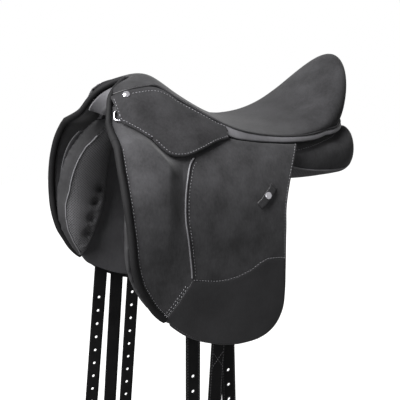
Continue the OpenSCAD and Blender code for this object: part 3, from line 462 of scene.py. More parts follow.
def draw_in(x, z):
    """How far the head of a flap draws in towards the middle."""
    return lookup(HEAD_IN, z) * eased((np.asarray(x, float) - DRAW_X[0]) / (DRAW_X[1] - DRAW_X[0]))


def on_flap(x, z, o):
    """Points of a flap with its drawn-in head."""
    p = on_side(x, z, o)
    p[..., 1] -= draw_in(x, z)
    return p


def on_arc(x, angle, o):
    """Point at an angle up the curve."""
    a = math.radians(angle)
    return np.array([x, ARC_Y + (ARC_R + o) * math.cos(a), ARC_Z + (ARC_R + o) * math.sin(a)])


# Shapes: each gives vertices and faces

def join(*shapes):
    """Several shapes as one."""
    verts, faces, base = [], [], 0
    for v, f in shapes:
        verts.append(np.asarray(v, float))
        faces += [tuple(i + base for i in face) for face in f]
        base += len(v)
    return np.vstack(verts), faces


def loft(loops, ends=None):
    """Closed solid through loops of points and a point at each end, by default in the loop's middle."""
    m, n = loops.shape[:2]
    if ends is None:
        ends = [loops[0].mean(0), loops[-1].mean(0)]
    faces = []
    for i in range(m - 1):
        for k in range(n):
            q = (k + 1) % n
            faces.append((i * n + k, i * n + q, (i + 1) * n + q, (i + 1) * n + k))
    base = (m - 1) * n
    for k in range(n):
        q = (k + 1) % n
        faces.append((m * n, q, k))
        faces.append((m * n + 1, base + k, base + q))
    return np.vstack([loops.reshape(-1, 3), ends]), faces


def tube(path, radius, sides, up=(0, 0, 1), dome=0.6):
    """Round cord along a path, with domed ends."""
    p = np.array(path, float)
    r = np.broadcast_to(np.asarray(radius, float), (len(p),))
    t = unit(np.gradient(p, axis=0))
    a = unit(np.cross(t, np.array(up, float)))
    b = np.cross(a, t)
    turn = full_turn(sides)[None, :, None]
    rings = p[:, None] + r[:, None, None] * (np.cos(turn) * a[:, None] + np.sin(turn) * b[:, None])
    return loft(rings, [p[0] - dome * r[0] * t[0], p[-1] + dome * r[-1] * t[-1]])


def grid_solid(top, bottom, bulge=0.0, keep=None):
    """Solid between two grids; its rim bulges by a share of the thickness, but not where keep is true."""
    m, n = top.shape[:2]
    count = m * n
    faces = []
    for i in range(m - 1):
        for j in range(n - 1):
            f = (i * n + j, i * n + j + 1, (i + 1) * n + j + 1, (i + 1) * n + j)
            faces.append(f)
            faces.append(tuple(count + k for k in reversed(f)))
    rim = [(0, j) for j in range(n)] + [(i, n - 1) for i in range(1, m)]
    rim += [(m - 1, j) for j in range(n - 2, -1, -1)] + [(i, 0) for i in range(m - 2, 0, -1)]
    middle = []
    for i, j in rim:
        inner = (min(max(i, 1), m - 2), min(max(j, 1), n - 2))
        out = top[i, j] - top[inner]
        out = out / (np.linalg.norm(out) + 1e-9)
        push = 0.0 if keep is not None and keep(i, j) else bulge
        thick = np.linalg.norm(top[i, j] - bottom[i, j])
        middle.append((top[i, j] + bottom[i, j]) / 2 + push * thick * out)
    total = len(rim)
    for k in range(total):
        (i, j), (p, q) = rim[k], rim[(k + 1) % total]
        a, b = i * n + j, p * n + q
        ma, mb = 2 * count + k, 2 * count + (k + 1) % total
        faces.append((a, ma, mb, b))
        faces.append((ma, count + a, count + b, mb))
    return np.vstack([top.reshape(-1, 3), bottom.reshape(-1, 3), middle]), faces


def inside(points, loop):
    """Which points lie inside a closed line."""
    x, z = points[:, 0][:, None], points[:, 1][:, None]
    a, b = loop, np.roll(loop, -1, axis=0)
    cross = (a[:, 1] > z) != (b[:, 1] > z)
    rise = np.where(b[:, 1] == a[:, 1], 1e-9, b[:, 1] - a[:, 1])
    at = (b[:, 0] - a[:, 0]) * (z - a[:, 1]) / rise + a[:, 0]
    return np.sum(cross & (x < at), axis=1) % 2 == 1


def within(points, rims):
    """Which points lie inside the first closed line and outside the others."""
    good = inside(points, rims[0])
    for hole in rims[1:]:
        good &= ~inside(points, hole)
    return good


def turned(loop, sign):
    """Closed line that runs anticlockwise for sign 1 and clockwise for -1."""
    a, b = loop, np.roll(loop, -1, axis=0)
    area = np.sum(a[:, 0] * b[:, 1] - b[:, 0] * a[:, 1])
    return loop if area * sign > 0 else loop[::-1]


def filled(rims, step):
    """Flat mesh within closed lines: points, triangles and the numbers that the lines' points have in it."""
    rim = np.vstack(rims)
    low, high = rim.min(0), rim.max(0)
    xs, zs = np.meshgrid(np.arange(low[0], high[0], step), np.arange(low[1], high[1], step))
    grid = np.stack([xs, zs], axis=-1).reshape(-1, 2)
    grid = grid[within(grid, rims)]
    near = np.array([np.min(np.sum((rim - c) ** 2, axis=1)) for c in grid])
    flat = np.vstack([rim, grid[near > (0.55 * step) ** 2]])
    lines, base = [], 0
    for loop in rims:
        lines += [(base + k, base + (k + 1) % len(loop)) for k in range(len(loop))]
        base += len(loop)
    points, _, tris, origins = delaunay_2d_cdt([Vector(p) for p in flat], lines, [], 0, 1e-5)[:4]
    numbers = {old: new for new, group in enumerate(origins) for old in group}
    flat = np.array([tuple(p) for p in points])
    tris = np.array(tris)
    return flat, tris[within(flat[tris].mean(axis=1), rims)], numbers


def cut_sheet(outline, low, high, place, step, edge=None, holes=(), square=None):
    """Sheet cut to an outline between two layers, laid by place; its edge is round except where square."""
    edge = (high - low) / 2 if edge is None else edge
    loops = [turned(spaced(outline, step, True), 1)]
    loops += [turned(spaced(h, HOLE_STEP, True), -1) for h in holes]
    rims, outs = [], []
    for loop in loops:
        t = unit(np.roll(loop, -1, axis=0) - np.roll(loop, 1, axis=0))
        out = np.stack([t[:, 1], -t[:, 0]], axis=1) * edge
        if square is not None:
            out[square(*loop.T)] = 0
        rims.append(loop - out)
        outs.append(out)
    flat, tris, numbers = filled(rims, step)
    count = len(flat)
    rows = [np.column_stack([flat, np.full(count, layer)]) for layer in (high, low)]
    faces = [tuple(f) for f in tris] + [tuple(count + i for i in f[::-1]) for f in tris]
    total, base = 2 * count, 0
    for loop, out in zip(rims, outs):
        n = len(loop)
        rings = [[numbers[base + k] for k in range(n)]]
        for turn in range(1, EDGE_TURNS):
            a = math.pi * turn / EDGE_TURNS
            layer = (high + low) / 2 + (high - low) / 2 * math.cos(a)
            rows.append(np.column_stack([loop + out * math.sin(a), np.full(n, layer)]))
            rings.append(list(range(total, total + n)))
            total += n
        rings.append([count + k for k in rings[0]])
        for a, b in zip(rings, rings[1:]):
            faces += [(a[k], b[k], b[(k + 1) % n], a[(k + 1) % n]) for k in range(n)]
        base += n
    return place(*np.vstack(rows).T), faces


def stitches(points, outs, pitch=5.2, length=2.4, radius=0.42):
    """Row of stitches along a line in space, lying on the side that outs points to."""
    run = run_along(points)
    count = max(2, int(run[-1] / pitch))
    at = (np.arange(count) + 0.5) * run[-1] / count
    place = at_runs(points, run, at)
    out = unit(at_runs(outs, run, at))
    along = unit(at_runs(np.gradient(points, run, axis=0), run, at))
    across = np.cross(along, out)
    n = STITCH_SIDES
    last = (len(STITCH_RINGS) - 1) * n
    turn = full_turn(n)[:, None]
    verts, faces = [], []
    for k in range(count):
        ring = np.cos(turn) * across[k] + np.sin(turn) * out[k]
        for s, r, h in STITCH_RINGS:
            verts.append(place[k] + along[k] * s * length + out[k] * h * radius + ring * r * radius)
        base = k * (last + n)
        for i in range(base, base + last, n):
            faces += [(i + q, i + (q + 1) % n, i + n + (q + 1) % n, i + n + q) for q in range(n)]
        faces.append(tuple(base + q for q in range(n - 1, -1, -1)))
        faces.append(tuple(base + last + q for q in range(n)))
    return np.vstack(verts), faces


def stitch_line(line, o, place=on_side, **sizes):
    """Row of stitches along a line of a surface, on the layer o."""
    line = spaced(line, 2.0)
    points = place(*line.T, o)
    return stitches(points, place(*line.T, o + 1) - points, **sizes)


# Materials

def feed(tree, made, inputs):
    """Give inputs of a node a value or the output that feeds them."""
    for key, value in inputs.items():
        if isinstance(value, bpy.types.NodeSocket):
            tree.links.new(value, made.inputs[key])
        else:
            made.inputs[key].default_value = value


def node(tree, kind, inputs=(), **settings):
    """New node with its settings and inputs."""
    made = tree.nodes.new("ShaderNode" + kind)
    for key, value in settings.items():
        setattr(made, key, value)
    feed(tree, made, dict(inputs))
    return made


def blank(name):
    """New material with its tree, shader and place of a point on the piece."""
    mat = bpy.data.materials.new(name)
    mat.use_nodes = True
    tree = mat.node_tree
    return mat, tree, tree.nodes["Principled BSDF"], node(tree, "TexCoord").outputs["Object"]


def combine(tree, operation, *values):
    """Sum, product or the like of values."""
    return node(tree, "Math", enumerate(values), operation=operation).outputs[0]


def noise(tree, spot, scale, detail=4.0, rough=0.55):
    """Cloudy pattern from 0 to 1."""
    inputs = {"Vector": spot, "Scale": scale, "Detail": detail, "Roughness": rough}
    return node(tree, "TexNoise", inputs).outputs["Fac"]


def cells(tree, spot, scale, random=1.0):
    """Distance pattern of cells."""
    inputs = {"Vector": spot, "Scale": scale, "Randomness": random}
    return node(tree, "TexVoronoi", inputs, feature="F1").outputs["Distance"]


def spread(tree, value, low, high, first=0.0, last=1.0):
    """Value mapped from one range to another."""
    inputs = {"Value": value, "From Min": low, "From Max": high, "To Min": first, "To Max": last}
    return node(tree, "MapRange", inputs).outputs["Result"]


def grey(value):
    """Near neutral colour, a little cool."""
    return (value, value * 0.985, value * 1.05, 1)


def tint(tree, share, first, last):
    """Colour between two."""
    return node(tree, "Mix", {"Factor": share, "A": first, "B": last}, data_type="RGBA").outputs["Result"]


def bump(tree, height, depth, below=None):
    """Small relief, depth in metres, over another one."""
    made = node(tree, "Bump", {"Strength": 1.0, "Distance": depth, "Height": height})
    if below is not None:
        feed(tree, made, {"Normal": below})
    return made.outputs["Normal"]


def leather(name, dark, light, rough, nap, grain=0.0, patch=22.0, sheen=0.0, gloss=0.5):
    """Leather or suede: patchy tone, brushed nap and grain in metres of depth."""
    mat, tree, shader, spot = blank(name)
    cloud = noise(tree, spot, patch, 5, 0.6)
    brush = {"Vector": spot, "Rotation": (0, math.radians(28), 0), "Scale": (1, 1, 0.35)}
    speck = noise(tree, node(tree, "Mapping", brush).outputs[0], 330, 4, 0.7)
    tone = combine(tree, "MULTIPLY_ADD", speck, 0.8, spread(tree, cloud, 0.32, 0.68, -0.22, 0.42))
    relief = bump(tree, cells(tree, spot, 620), grain) if grain else None
    feed(tree, shader, {
        "Base Color": tint(tree, tone, grey(dark), grey(light)),
        "Roughness": spread(tree, cloud, 0.3, 0.7, rough - 0.06, rough + 0.06),
        "Normal": bump(tree, noise(tree, spot, 900, 3, 0.7), nap, relief),
        "Specular IOR Level": gloss,
        "Sheen Weight": sheen,
        "Sheen Roughness": 0.5})
    return mat


def perforated(name, dark, light, rough, hole):
    """Panel leather with rows of fine holes seen from the side, hole metres apart."""
    mat, tree, shader, spot = blank(name)
    cloud = noise(tree, spot, 30, 4)
    part = node(tree, "SeparateXYZ", {0: spot}).outputs
    flat = node(tree, "CombineXYZ", {"X": part["X"], "Y": part["Z"]}).outputs[0]
    rows = node(tree, "VectorRotate", {"Vector": flat, "Angle": math.radians(45)}, rotation_type="Z_AXIS")
    solid = spread(tree, cells(tree, rows.outputs[0], 1 / hole, 0.0), 0.22, 0.34)
    skin = tint(tree, cloud, grey(dark), grey(light))
    feed(tree, shader, {
        "Base Color": tint(tree, solid, grey(dark * 0.25), skin),
        "Roughness": spread(tree, cloud, 0.3, 0.7, rough - 0.05, rough + 0.05),
        "Normal": bump(tree, noise(tree, spot, 700, 3), 0.00008, bump(tree, solid, 0.0004))})
    return mat


def metal(name, shade, rough, brush):
    """Worn metal with fine brush marks."""
    mat, tree, shader, spot = blank(name)
    drawn = node(tree, "Mapping", {"Vector": spot, "Scale": (1, 6, 1)}).outputs[0]
    smear = noise(tree, spot, 60, 3)
    feed(tree, shader, {
        "Base Color": tint(tree, smear, grey(shade * 0.85), grey(shade)),
        "Roughness": spread(tree, smear, 0.3, 0.7, rough, rough + 0.12),
        "Normal": bump(tree, noise(tree, drawn, 500, 3), brush),
        "Metallic": 1.0})
    return mat


def plastic(name, dark, light):
    """Moulded plastic with a coarse skin."""
    mat, tree, shader, spot = blank(name)
    cloud = noise(tree, spot, 40, 4)
    feed(tree, shader, {
        "Base Color": tint(tree, cloud, grey(dark), grey(light)),
        "Roughness": spread(tree, cloud, 0.3, 0.7, 0.45, 0.6),
        "Normal": bump(tree, noise(tree, spot, 350, 2), 0.00012)})
    return mat


def webbing(name, dark, light):
    """Woven web: crossing ribs."""
    mat, tree, shader, spot = blank(name)
    inputs = {"Vector": spot, "Scale": 260, "Distortion": 1.2}
    ribs = [node(tree, "TexWave", inputs, bands_direction=axis).outputs["Fac"] for axis in ("X", "Z")]
    height = combine(tree, "MAXIMUM", *ribs)
    feed(tree, shader, {
        "Base Color": tint(tree, height, grey(dark), grey(light)),
        "Roughness": 0.85,
        "Normal": bump(tree, height, 0.0003)})
    return mat


def thread(name, dark, light):
    """Twisted sewing thread."""
    mat, tree, shader, spot = blank(name)
    twist = noise(tree, spot, 1500, 2)
    feed(tree, shader, {
        "Base Color": tint(tree, twist, grey(dark), grey(light)),
        "Roughness": 0.7,
        "Normal": bump(tree, twist, 0.0001)})
    return mat


LOOK = {
    "suede": leather("suede", 0.013, 0.047, 0.86, nap=0.0002, sheen=0.12, gloss=0.1),
    "seat": leather("seat", 0.008, 0.032, 0.86, nap=0.0002, sheen=0.08, gloss=0.08),
    "smooth": leather("smooth", 0.016, 0.03, 0.42, nap=0.00006, grain=0.00012, patch=14, gloss=0.3),
    "panel": perforated("panel", 0.05, 0.08, 0.55, 0.0036),
    "boxing": leather("boxing", 0.012, 0.026, 0.6, nap=0.0001, grain=0.0001, gloss=0.25),
    "lining": leather("lining", 0.15, 0.24, 0.4, nap=0.00005, grain=0.0001, gloss=0.4),
    # sweat: its lighter tone is painted light for the light and sheen that fall on the far sweat flap
    "sweat": leather("sweat", 0.035, 0.06, 0.55, nap=0.00005, grain=0.0001, gloss=0.2),
    # band: its lighter tone is painted highlight for the sheen along the ridge of the seat band; the front
    # cushion piping wears it too
    "band": leather("band", 0.08, 0.14, 0.4, nap=0.00005, grain=0.0001, gloss=0.4),
    "strap": leather("strap", 0.003, 0.008, 0.55, nap=0.00006, grain=0.0001, gloss=0.1),
    "roll": leather("roll", 0.004, 0.011, 0.7, nap=0.0001, gloss=0.12),
    "piping": leather("piping", 0.07, 0.13, 0.5, nap=0.00006),
    "welt": leather("welt", 0.012, 0.024, 0.5, nap=0.00006, gloss=0.3),
    "tree": plastic("tree", 0.012, 0.022),
    "web": webbing("web", 0.01, 0.03),
    "steel": metal("steel", 0.5, 0.32, 0.00003),
    "bright": metal("bright", 0.9, 0.12, 0.00001),
    "thread": thread("thread", 0.15, 0.3),
    "dark_thread": thread("dark_thread", 0.03, 0.07)}


# Pieces

def piece(name, shape, look, side="left"):
    """Mesh piece in its place; the right one is the mirror of the left."""
    verts, faces = shape
    verts = np.array(verts, float) * MM
    if side == "right":
        verts[:, 1] *= -1
    mesh = bpy.data.meshes.new(name)
    mesh.from_pydata(verts.tolist(), [], [tuple(int(i) for i in f) for f in faces])
    bm = bmesh.new()
    bm.from_mesh(mesh)
    bmesh.ops.remove_doubles(bm, verts=bm.verts, dist=1e-6)
    bmesh.ops.recalc_face_normals(bm, faces=bm.faces)
    bm.to_mesh(mesh)
    bm.free()
    mesh.polygons.foreach_set("use_smooth", [True] * len(mesh.polygons))
    mesh.set_sharp_from_angle(angle=math.radians(SHARP_ANGLE))
    mesh.materials.append(LOOK[look])
    obj = bpy.data.objects.new(name, mesh)
    bpy.context.scene.collection.objects.link(obj)
    return obj


def row_of(mesh, what):
    """Places (co) or normals of a mesh's points, all in one row."""
    row = np.empty(len(mesh.vertices) * 3)
    mesh.vertices.foreach_get(what, row)
    return row


def as_left(spots):
    """Points in metres as points of the left side in millimetres."""
    return np.reshape(spots, (-1, 3)) / MM * np.sign((1, spots[0][1], 1))


def face_middles(mesh):
    """Middles of a mesh's faces, as those of the left side."""
    return as_left([tuple(f.center) for f in mesh.polygons])


def shown_mesh(obj):
    """Copy of a piece's mesh with its modifiers applied, which are then taken off."""
    graph = bpy.context.evaluated_depsgraph_get()
    mesh = bpy.data.meshes.new_from_object(obj.evaluated_get(graph), depsgraph=graph)
    obj.modifiers.clear()
    return mesh


def puffed(obj, held, start, cap):
    """Swell a cushion as cloth under pressure, sewn where held says so; start and cap are in millimetres."""
    even = obj.modifiers.new("even", "REMESH")
    even.mode = "VOXEL"
    even.voxel_size = CLOTH_STEP * MM
    obj.data = shown_mesh(obj)
    before = row_of(obj.data, "co")
    sewn = held(as_left(before.reshape(-1, 3)))
    before -= row_of(obj.data, "normal") * np.repeat(~sewn, 3) * start * MM
    obj.data.vertices.foreach_set("co", before)
    obj.vertex_groups.new(name="sewn").add(np.flatnonzero(sewn).tolist(), 1.0, "REPLACE")
    cloth = obj.modifiers.new("cloth", "CLOTH")
    cloth.settings.vertex_group_mass = "sewn"
    cloth.settings.use_pressure = True
    cloth.settings.uniform_pressure_force = CLOTH_PRESSURE
    cloth.settings.effector_weights.gravity = 0
    cloth.collision_settings.use_collision = False
    for number in range(1, CLOTH_FRAMES + 1):
        bpy.context.scene.frame_set(number)
    obj.data = shown_mesh(obj)
    obj.vertex_groups.clear()
    move = (row_of(obj.data, "co") - before).reshape(-1, 3)
    far = np.linalg.norm(move, axis=1, keepdims=True)
    move *= np.minimum(1, cap * MM / np.maximum(far, 1e-9))
    obj.data.vertices.foreach_set("co", before + move.ravel())
    bpy.context.scene.frame_set(1)
    obj.modifiers.new("finer", "SUBSURF").levels = 1
    obj.data = shown_mesh(obj)
    obj.data.polygons.foreach_set("use_smooth", [True] * len(obj.data.polygons))


def second_look(obj, look, chosen):
    """Give the chosen faces of a piece another material."""
    obj.data.materials.append(LOOK[look])
    obj.data.polygons.foreach_set("material_index", chosen(face_middles(obj.data)).astype(np.int32))


def stands_for(nodes):
    """The piece replaces CAD nodes, which are hidden."""
    if nodes:
        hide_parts(*nodes)


def rides(obj, body, *nodes, fill=None):
    """The piece moves with a body."""
    stands_for(nodes)
    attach(obj, body)


def bends(obj, side, *nodes, fill=None):
    """The piece replaces CAD nodes and keeps its place, which is baked into its mesh."""
    stands_for(nodes)
    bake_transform(obj)


# Seat

def seat_row(i, middle, edge, full):
    """Points across the seat from its left edge to its right; full is how square the row is."""
    (xc, zc), (xe, ye, ze) = middle, edge
    w = np.linspace(1, -1, SEAT_ACROSS)
    v = np.sin(math.pi / 2 * w)
    if i == 0:
        pull = eased(np.abs(v))
    else:
        pull = v * v if i < SEAT_BENT else 1 - np.cos(math.pi / 2 * w)
    return np.stack([xc + (xe - xc) * pull, ye * v, ze + (zc - ze) * (1 - np.abs(v) ** full)], axis=-1)


top = np.array([seat_row(i, r[:2], r[2:5], r[5]) for i, r in enumerate(SEAT_ROWS)])
under = []
for i, (middle, row) in enumerate(zip(SEAT_FLOOR, SEAT_ROWS)):
    inset = SEAT_INSET_FRONT if i == 0 else SEAT_INSET
    under.append(seat_row(i, middle, np.subtract(row[2:5], inset), SEAT_FLOOR_FULL))
seat = piece("seat_cover", grid_solid(smooth(top, 4), smooth(under, 4)), "seat")
rides(seat, "root", "seat", fill=0.85)

# The seam runs from the left of the pommel round the cantle to the right of the pommel
seam = np.vstack([top[:, 0], top[-1, SEAM_STEP:-SEAM_STEP:SEAM_STEP], top[::-1, -1]])
seam_line = smooth(seam, 5)
welt_rise = WELT_RISE * eased((WELT_RISE_X - seam_line[:, 0:1]) / WELT_RISE_RUN)
welt_line = pushed(seam_line, WELT_R + WELT_GAP, welt_rise - WELT_R)
rides(piece("seam_welt", tube(welt_line, WELT_R, CORD_SIDES), "welt"), "root", "seat_welt")

band_end = np.array([BAND_END])
band_core = smooth(np.vstack([band_end, seam[BAND_FIRST:-BAND_FIRST], band_end * (1, -1, 1)]), 4)
ridge_x, ridge_out, ridge_down = np.array(BAND_RIDGE).T
out = np.interp(band_core[:, 0:1], ridge_x, ridge_out)
down = np.interp(band_core[:, 0:1], ridge_x, ridge_down)
band_loops = np.stack([pushed(band_core, a * out + b, c * down + d) for a, b, c, d in BAND_PROFILE], axis=1)
# The band's lighter look is painted highlight for the sheen on its ridge
rides(piece("seat_band_cover", loft(band_loops), "band"), "root", "seat_band")


# Roll over the pommel and the lining of the gullet behind it

arch_half = smooth(ARCH, 6)
arch_line = both_halves(arch_half)
arch_radius = ARCH_R + (ROLL_R - ARCH_R) * np.clip((ARCH_WIDENS[0] - arch_line[:, 2]) / ARCH_WIDENS[1], 0, 1)
arch = piece("pommel_roll_cover", tube(arch_line, arch_radius, ROLL_SIDES, (1, 0, 0)), "roll")
rides(arch, "root", "pommel_roll", fill=0.85)


def lining_row(front, x, place):
    """Points from the front of the lining to its throat and on to its rear."""
    throat, middle, back = place(x), place((x + LINING_BACK) / 2), place(LINING_BACK)
    steps = [front * s + throat * (1 - s) + (h, 0, h) for s, h in LINING_STEPS]
    return front, *steps, throat, middle, back


def lining_rows(depth):
    """Grid of the gullet lining, depth below its upper face."""
    o = LINING_O - depth
    down = np.array(LINING_DOWN) * depth
    top_z = ARC_Z + math.sqrt((ARC_R + o) ** 2 - ARC_Y ** 2)
    rows = []
    for front, angle, x in LINING:
        rows.append(lining_row(np.array(front) - down, x, lambda at: on_arc(at, angle, o)))
    front = np.array(LINING_MIDDLE) - down * (1, 0, 1)
    rows.append(lining_row(front, LINING_THROAT, lambda at: np.array((at, 0, top_z))))
    grid = smooth(both_halves(np.array(rows)), 4)
    return np.swapaxes(smooth(np.swapaxes(grid, 0, 1), 4), 0, 1)


lining = piece("gullet_lining_skin", grid_solid(lining_rows(LINING_T), lining_rows(0)), "lining")
rides(lining, "root", "gullet_lining")


# Skirts

def skirt_close(x):
    """How much nearer to the flap a skirt lies towards its rear end."""
    start, end = SKIRT_CLOSE_X
    return SKIRT_CLOSE * eased((start - np.asarray(x, float)) / (start - end))


def on_skirt(x, z, o):
    """Point of the lobe of a skirt."""
    return on_side(x, z, o - skirt_close(x), SKIRT_HIGH)


def skirt_point(col, t, d):
    """Point of the fixed part of a skirt, t from the seat down to its lower edge, d below its face."""
    x, y0, z0, z2, off = col
    layer = SKIRT_HIGH + off
    ref = max(layer, SKIRT_HIGH)
    p0 = np.array([y0, z0 - SKIRT_SUNK])
    p3 = on_side(x, z2, layer, ref)[1:] - (draw_in(x, z2), 0)
    p1 = p0 + (p3 - p0) * SKIRT_BOW_TOP
    a = math.asin((z2 - ARC_Z) / (ARC_R + ref))
    p2 = p3 - np.linalg.norm(p3 - p0) / 3 * np.array([math.sin(a), -math.cos(a)])
    free = min(max((x - SKIRT_FREE_X[0]) / (SKIRT_FREE_X[1] - SKIRT_FREE_X[0]), 0), 1)
    p2 = p2 * (1 - free) + (p3 - (p3 - p0) * SKIRT_BOW_FREE) * free
    q = p0 * (1 - t) ** 3 + 3 * p1 * t * (1 - t) ** 2 + 3 * p2 * t * t * (1 - t) + p3 * t ** 3
    g = unit((p1 - p0) * (1 - t) ** 2 + 2 * (p2 - p1) * t * (1 - t) + (p3 - p2) * t * t)
    return np.array([x, q[0] + g[1] * d, q[1] - g[0] * d])


def skirt_line(cols, first, last):
    """Line over columns of a skirt, first to last a share of the way down, and its outward directions."""
    ts = np.linspace(first, last, len(cols))
    points, below = (np.array([skirt_point(c, t, d) for c, t in zip(cols, ts)]) for d in (0, 1))
    return points, points - below


skirt_cols = smooth(SKIRT_COLS, 4)
over_lobe = skirt_cols[:, 0] <= LOBE_FRONT
skirt_cols[over_lobe, 3] = BEND_Z
skirt_cols[over_lobe, 4] = -skirt_close(skirt_cols[over_lobe, 0])
bend_col = int(np.argmax(over_lobe))
skirt_steps = np.linspace(0, 1, SKIRT_STEPS)
skirt_faces = [np.array([[skirt_point(c, t, d) for c in skirt_cols] for t in skirt_steps])
               for d in (0, SKIRT_HIGH - SKIRT_LOW)]
skirt_shape = grid_solid(*skirt_faces, SKIRT_BULGE, lambda i, j: i == SKIRT_STEPS - 1 and j >= bend_col)
sewn_rows = ((skirt_cols[SKIRT_SEWN_FROM:-1], SEWN_AT_SEAT), (skirt_cols[1:bend_col + 1], SEWN_AT_EDGE),
             ([skirt_cols[SEWN_COLUMN]] * 12, SEWN_DOWN))
skirt_thread = join(*(stitches(*skirt_line(cols, *shares)) for cols, shares in sewn_rows))
lobe_edge = smooth(LOBE, 6)
lobe_outline = np.vstack([[(LOBE_ENDS[0], BEND_Z)], lobe_edge, [(LOBE_ENDS[1], BEND_Z)]])
lobe_shape = cut_sheet(lobe_outline, SKIRT_LOW, SKIRT_HIGH, on_skirt, step=4.0,
                       square=lambda x, z: z > BEND_Z - LOBE_SQUARE)
lobe_thread = stitch_line(beside(lobe_edge, LOBE_SEWN), SKIRT_HIGH, on_skirt)
for side in SIDES:
    lobe = f"skirt_lobe_{side}"
    rides(piece(f"skirt_sheet_{side}", skirt_shape, "seat", side), "root", f"skirt_{side}")
    rides(piece(f"skirt_lobe_sheet_{side}", lobe_shape, "seat", side), lobe, lobe)
    rides(piece(f"skirt_stitching_{side}", skirt_thread, "thread", side), "root")
    rides(piece(f"skirt_lobe_stitching_{side}", lobe_thread, "thread", side), lobe)


# Flaps with their rolls, knee blocks, feet and piping

def knee_height(x, z):
    """Height of the knee block over the flap: a long slope from the front, a short round fall at the rear."""
    front, rear = lookup(KNEE_FRONT, z), lookup(KNEE_REAR, z)
    slope = np.sin(math.pi / 2 * np.clip((front - x) / (KNEE_SLOPE * (front - rear)), 0, 1)) ** KNEE_POWER
    fall = eased((x - rear) / KNEE_FALL)
    clear = eased((lookup(SKIRT_EDGE, x) - z) / KNEE_CLEAR)
    return lookup(KNEE_RISE, z) * slope * fall * (KNEE_HIDDEN + (1 - KNEE_HIDDEN) * clear)


def knee_block_shape():
    """Padded block from its crowned skin down into the flap."""
    zs = np.linspace(KNEE_TOP, KNEE_FOOT, KNEE_GRID[0])
    front, rear = lookup(KNEE_FRONT, zs) + KNEE_LAP[0], lookup(KNEE_REAR, zs) - KNEE_LAP[1]
    xs, zs = rows_between(zs, front, rear, np.linspace(0, 1, KNEE_GRID[1]))
    return grid_solid(on_flap(xs, zs, knee_height(xs, zs) - KNEE_SUNK), on_flap(xs, zs, -KNEE_ROOT))


roll_line = smooth(ROLL, 5)
roll_path = on_side(*roll_line.T, -FLAP_T / 2)
roll_path = np.vstack([arch_half[ROLL_LAP:0:-1], roll_path])
roll_radius = np.full(len(roll_path), ROLL_R)
roll_radius[:ROLL_LAP] = np.linspace(ROLL_R - ROLL_TAPER, ROLL_R, ROLL_LAP)
roll_shape = tube(roll_path, roll_radius, ROLL_SIDES, (1, 0, 0))
flap_edge, foot_top, foot_front = smooth(FLAP_FOOT, 5), smooth(FOOT_TOP, 5), smooth(FOOT_FRONT, 5)
flap_front = beside(roll_line, ROLL_R + ROLL_GAP)
flap_outline = np.vstack([smooth(HEAD_FRONT, 4), flap_front, flap_edge, FLAP_TOP, HEAD_TOP])
flap_shape = cut_sheet(flap_outline, -FLAP_T, 0, on_flap, step=5.5, edge=1.4, holes=[NOTCH])
block_shape = knee_block_shape()
foot_outline = np.vstack([foot_top, smooth(FOOT_REST, 5), foot_front])
foot_shape = cut_sheet(foot_outline, FOOT_LOW, FOOT_HIGH, on_side, step=5.5)
piping_line = smooth(PIPING, 8)
piping_shape = tube(on_side(*piping_line.T, PIPING_O), PIPING_R, CORD_SIDES, (1, 0, 0))
# Rows of stitches: the line that they follow, how far beside it and on which layer
sewn_rows = ((flap_edge, 3.6, 0.0), (piping_line, 6.5, 0.0), (foot_top, 2.0, FOOT_HIGH),
             (foot_front, 2.2, FOOT_HIGH), (foot_front, 6.6, FOOT_HIGH))
flap_thread = join(*(stitch_line(beside(row, d), layer) for row, d, layer in sewn_rows))
front_thread = stitch_line(beside(roll_line, ROLL_R + ROLL_SEWN), 0.0)
for side in SIDES:
    flap = f"flap_{side}"
    sheet = piece(f"flap_sheet_{side}", flap_shape, "suede", side)
    bends(sheet, side, flap, f"flap_head_{side}")
    roll = piece(f"flap_roll_cover_{side}", roll_shape, "roll", side)
    bends(roll, side, f"flap_roll_{side}", fill=0.8)
    block = piece(f"knee_block_cover_{side}", block_shape, "suede", side)
    bends(block, side, f"knee_block_{side}", fill=0.8)
    rides(piece(f"flap_foot_cover_{side}", foot_shape, "smooth", side), flap, f"flap_foot_{side}")
    piping = piece(f"flap_piping_cord_{side}", piping_shape, "piping", side)
    rides(piping, flap, f"flap_piping_{side}")
    bends(piece(f"flap_stitching_{side}", flap_thread, "thread", side), side)
    bends(piece(f"flap_front_stitching_{side}", front_thread, "thread", side), side)


# Keepers; their buttons keep the shape of the CAD

def keeper_place(a, b, o):
    """Point of a keeper: a along it, b across it, o off the flap; it stands off between its ends."""
    o = o + KEEPER_STAND * eased((KEEPER_LOOP - np.abs(a)) / KEEPER_RAMP)
    turn, tilt = math.radians(KEEPER_TURN), math.radians(KEEPER_ANGLE)
    u = math.cos(turn) * a - math.sin(turn) * b
    v = math.sin(turn) * a + math.cos(turn) * b
    x, y, z = on_arc(KEEPER_X, KEEPER_ANGLE, 0)
    return np.stack([x + u, y + v * math.sin(tilt) + o * math.cos(tilt),
                     z - v * math.cos(tilt) + o * math.sin(tilt)], axis=-1)


keeper_outline = []
for n, (a, b) in enumerate(((1, 1), (-1, 1), (-1, -1), (1, -1))):
    for turn in np.linspace(n * math.pi / 2, (n + 1) * math.pi / 2, 5):
        keeper_outline.append((a * (KEEPER_HALF[0] - KEEPER_CORNER) + KEEPER_CORNER * math.cos(turn),
                               b * (KEEPER_HALF[1] - KEEPER_CORNER) + KEEPER_CORNER * math.sin(turn)))
keeper_shape = cut_sheet(keeper_outline, KEEPER_LOW, KEEPER_HIGH, keeper_place, step=1.5)
for side in SIDES:
    keeper = piece(f"keeper_strip_{side}", keeper_shape, "smooth", side)
    rides(keeper, f"flap_{side}", f"keeper_{side}")


# Sweat flaps

def on_sweat_flap(x, z, o):
    """Points of a sweat flap."""
    return on_side(x, z, o, SWEAT_HIGH)
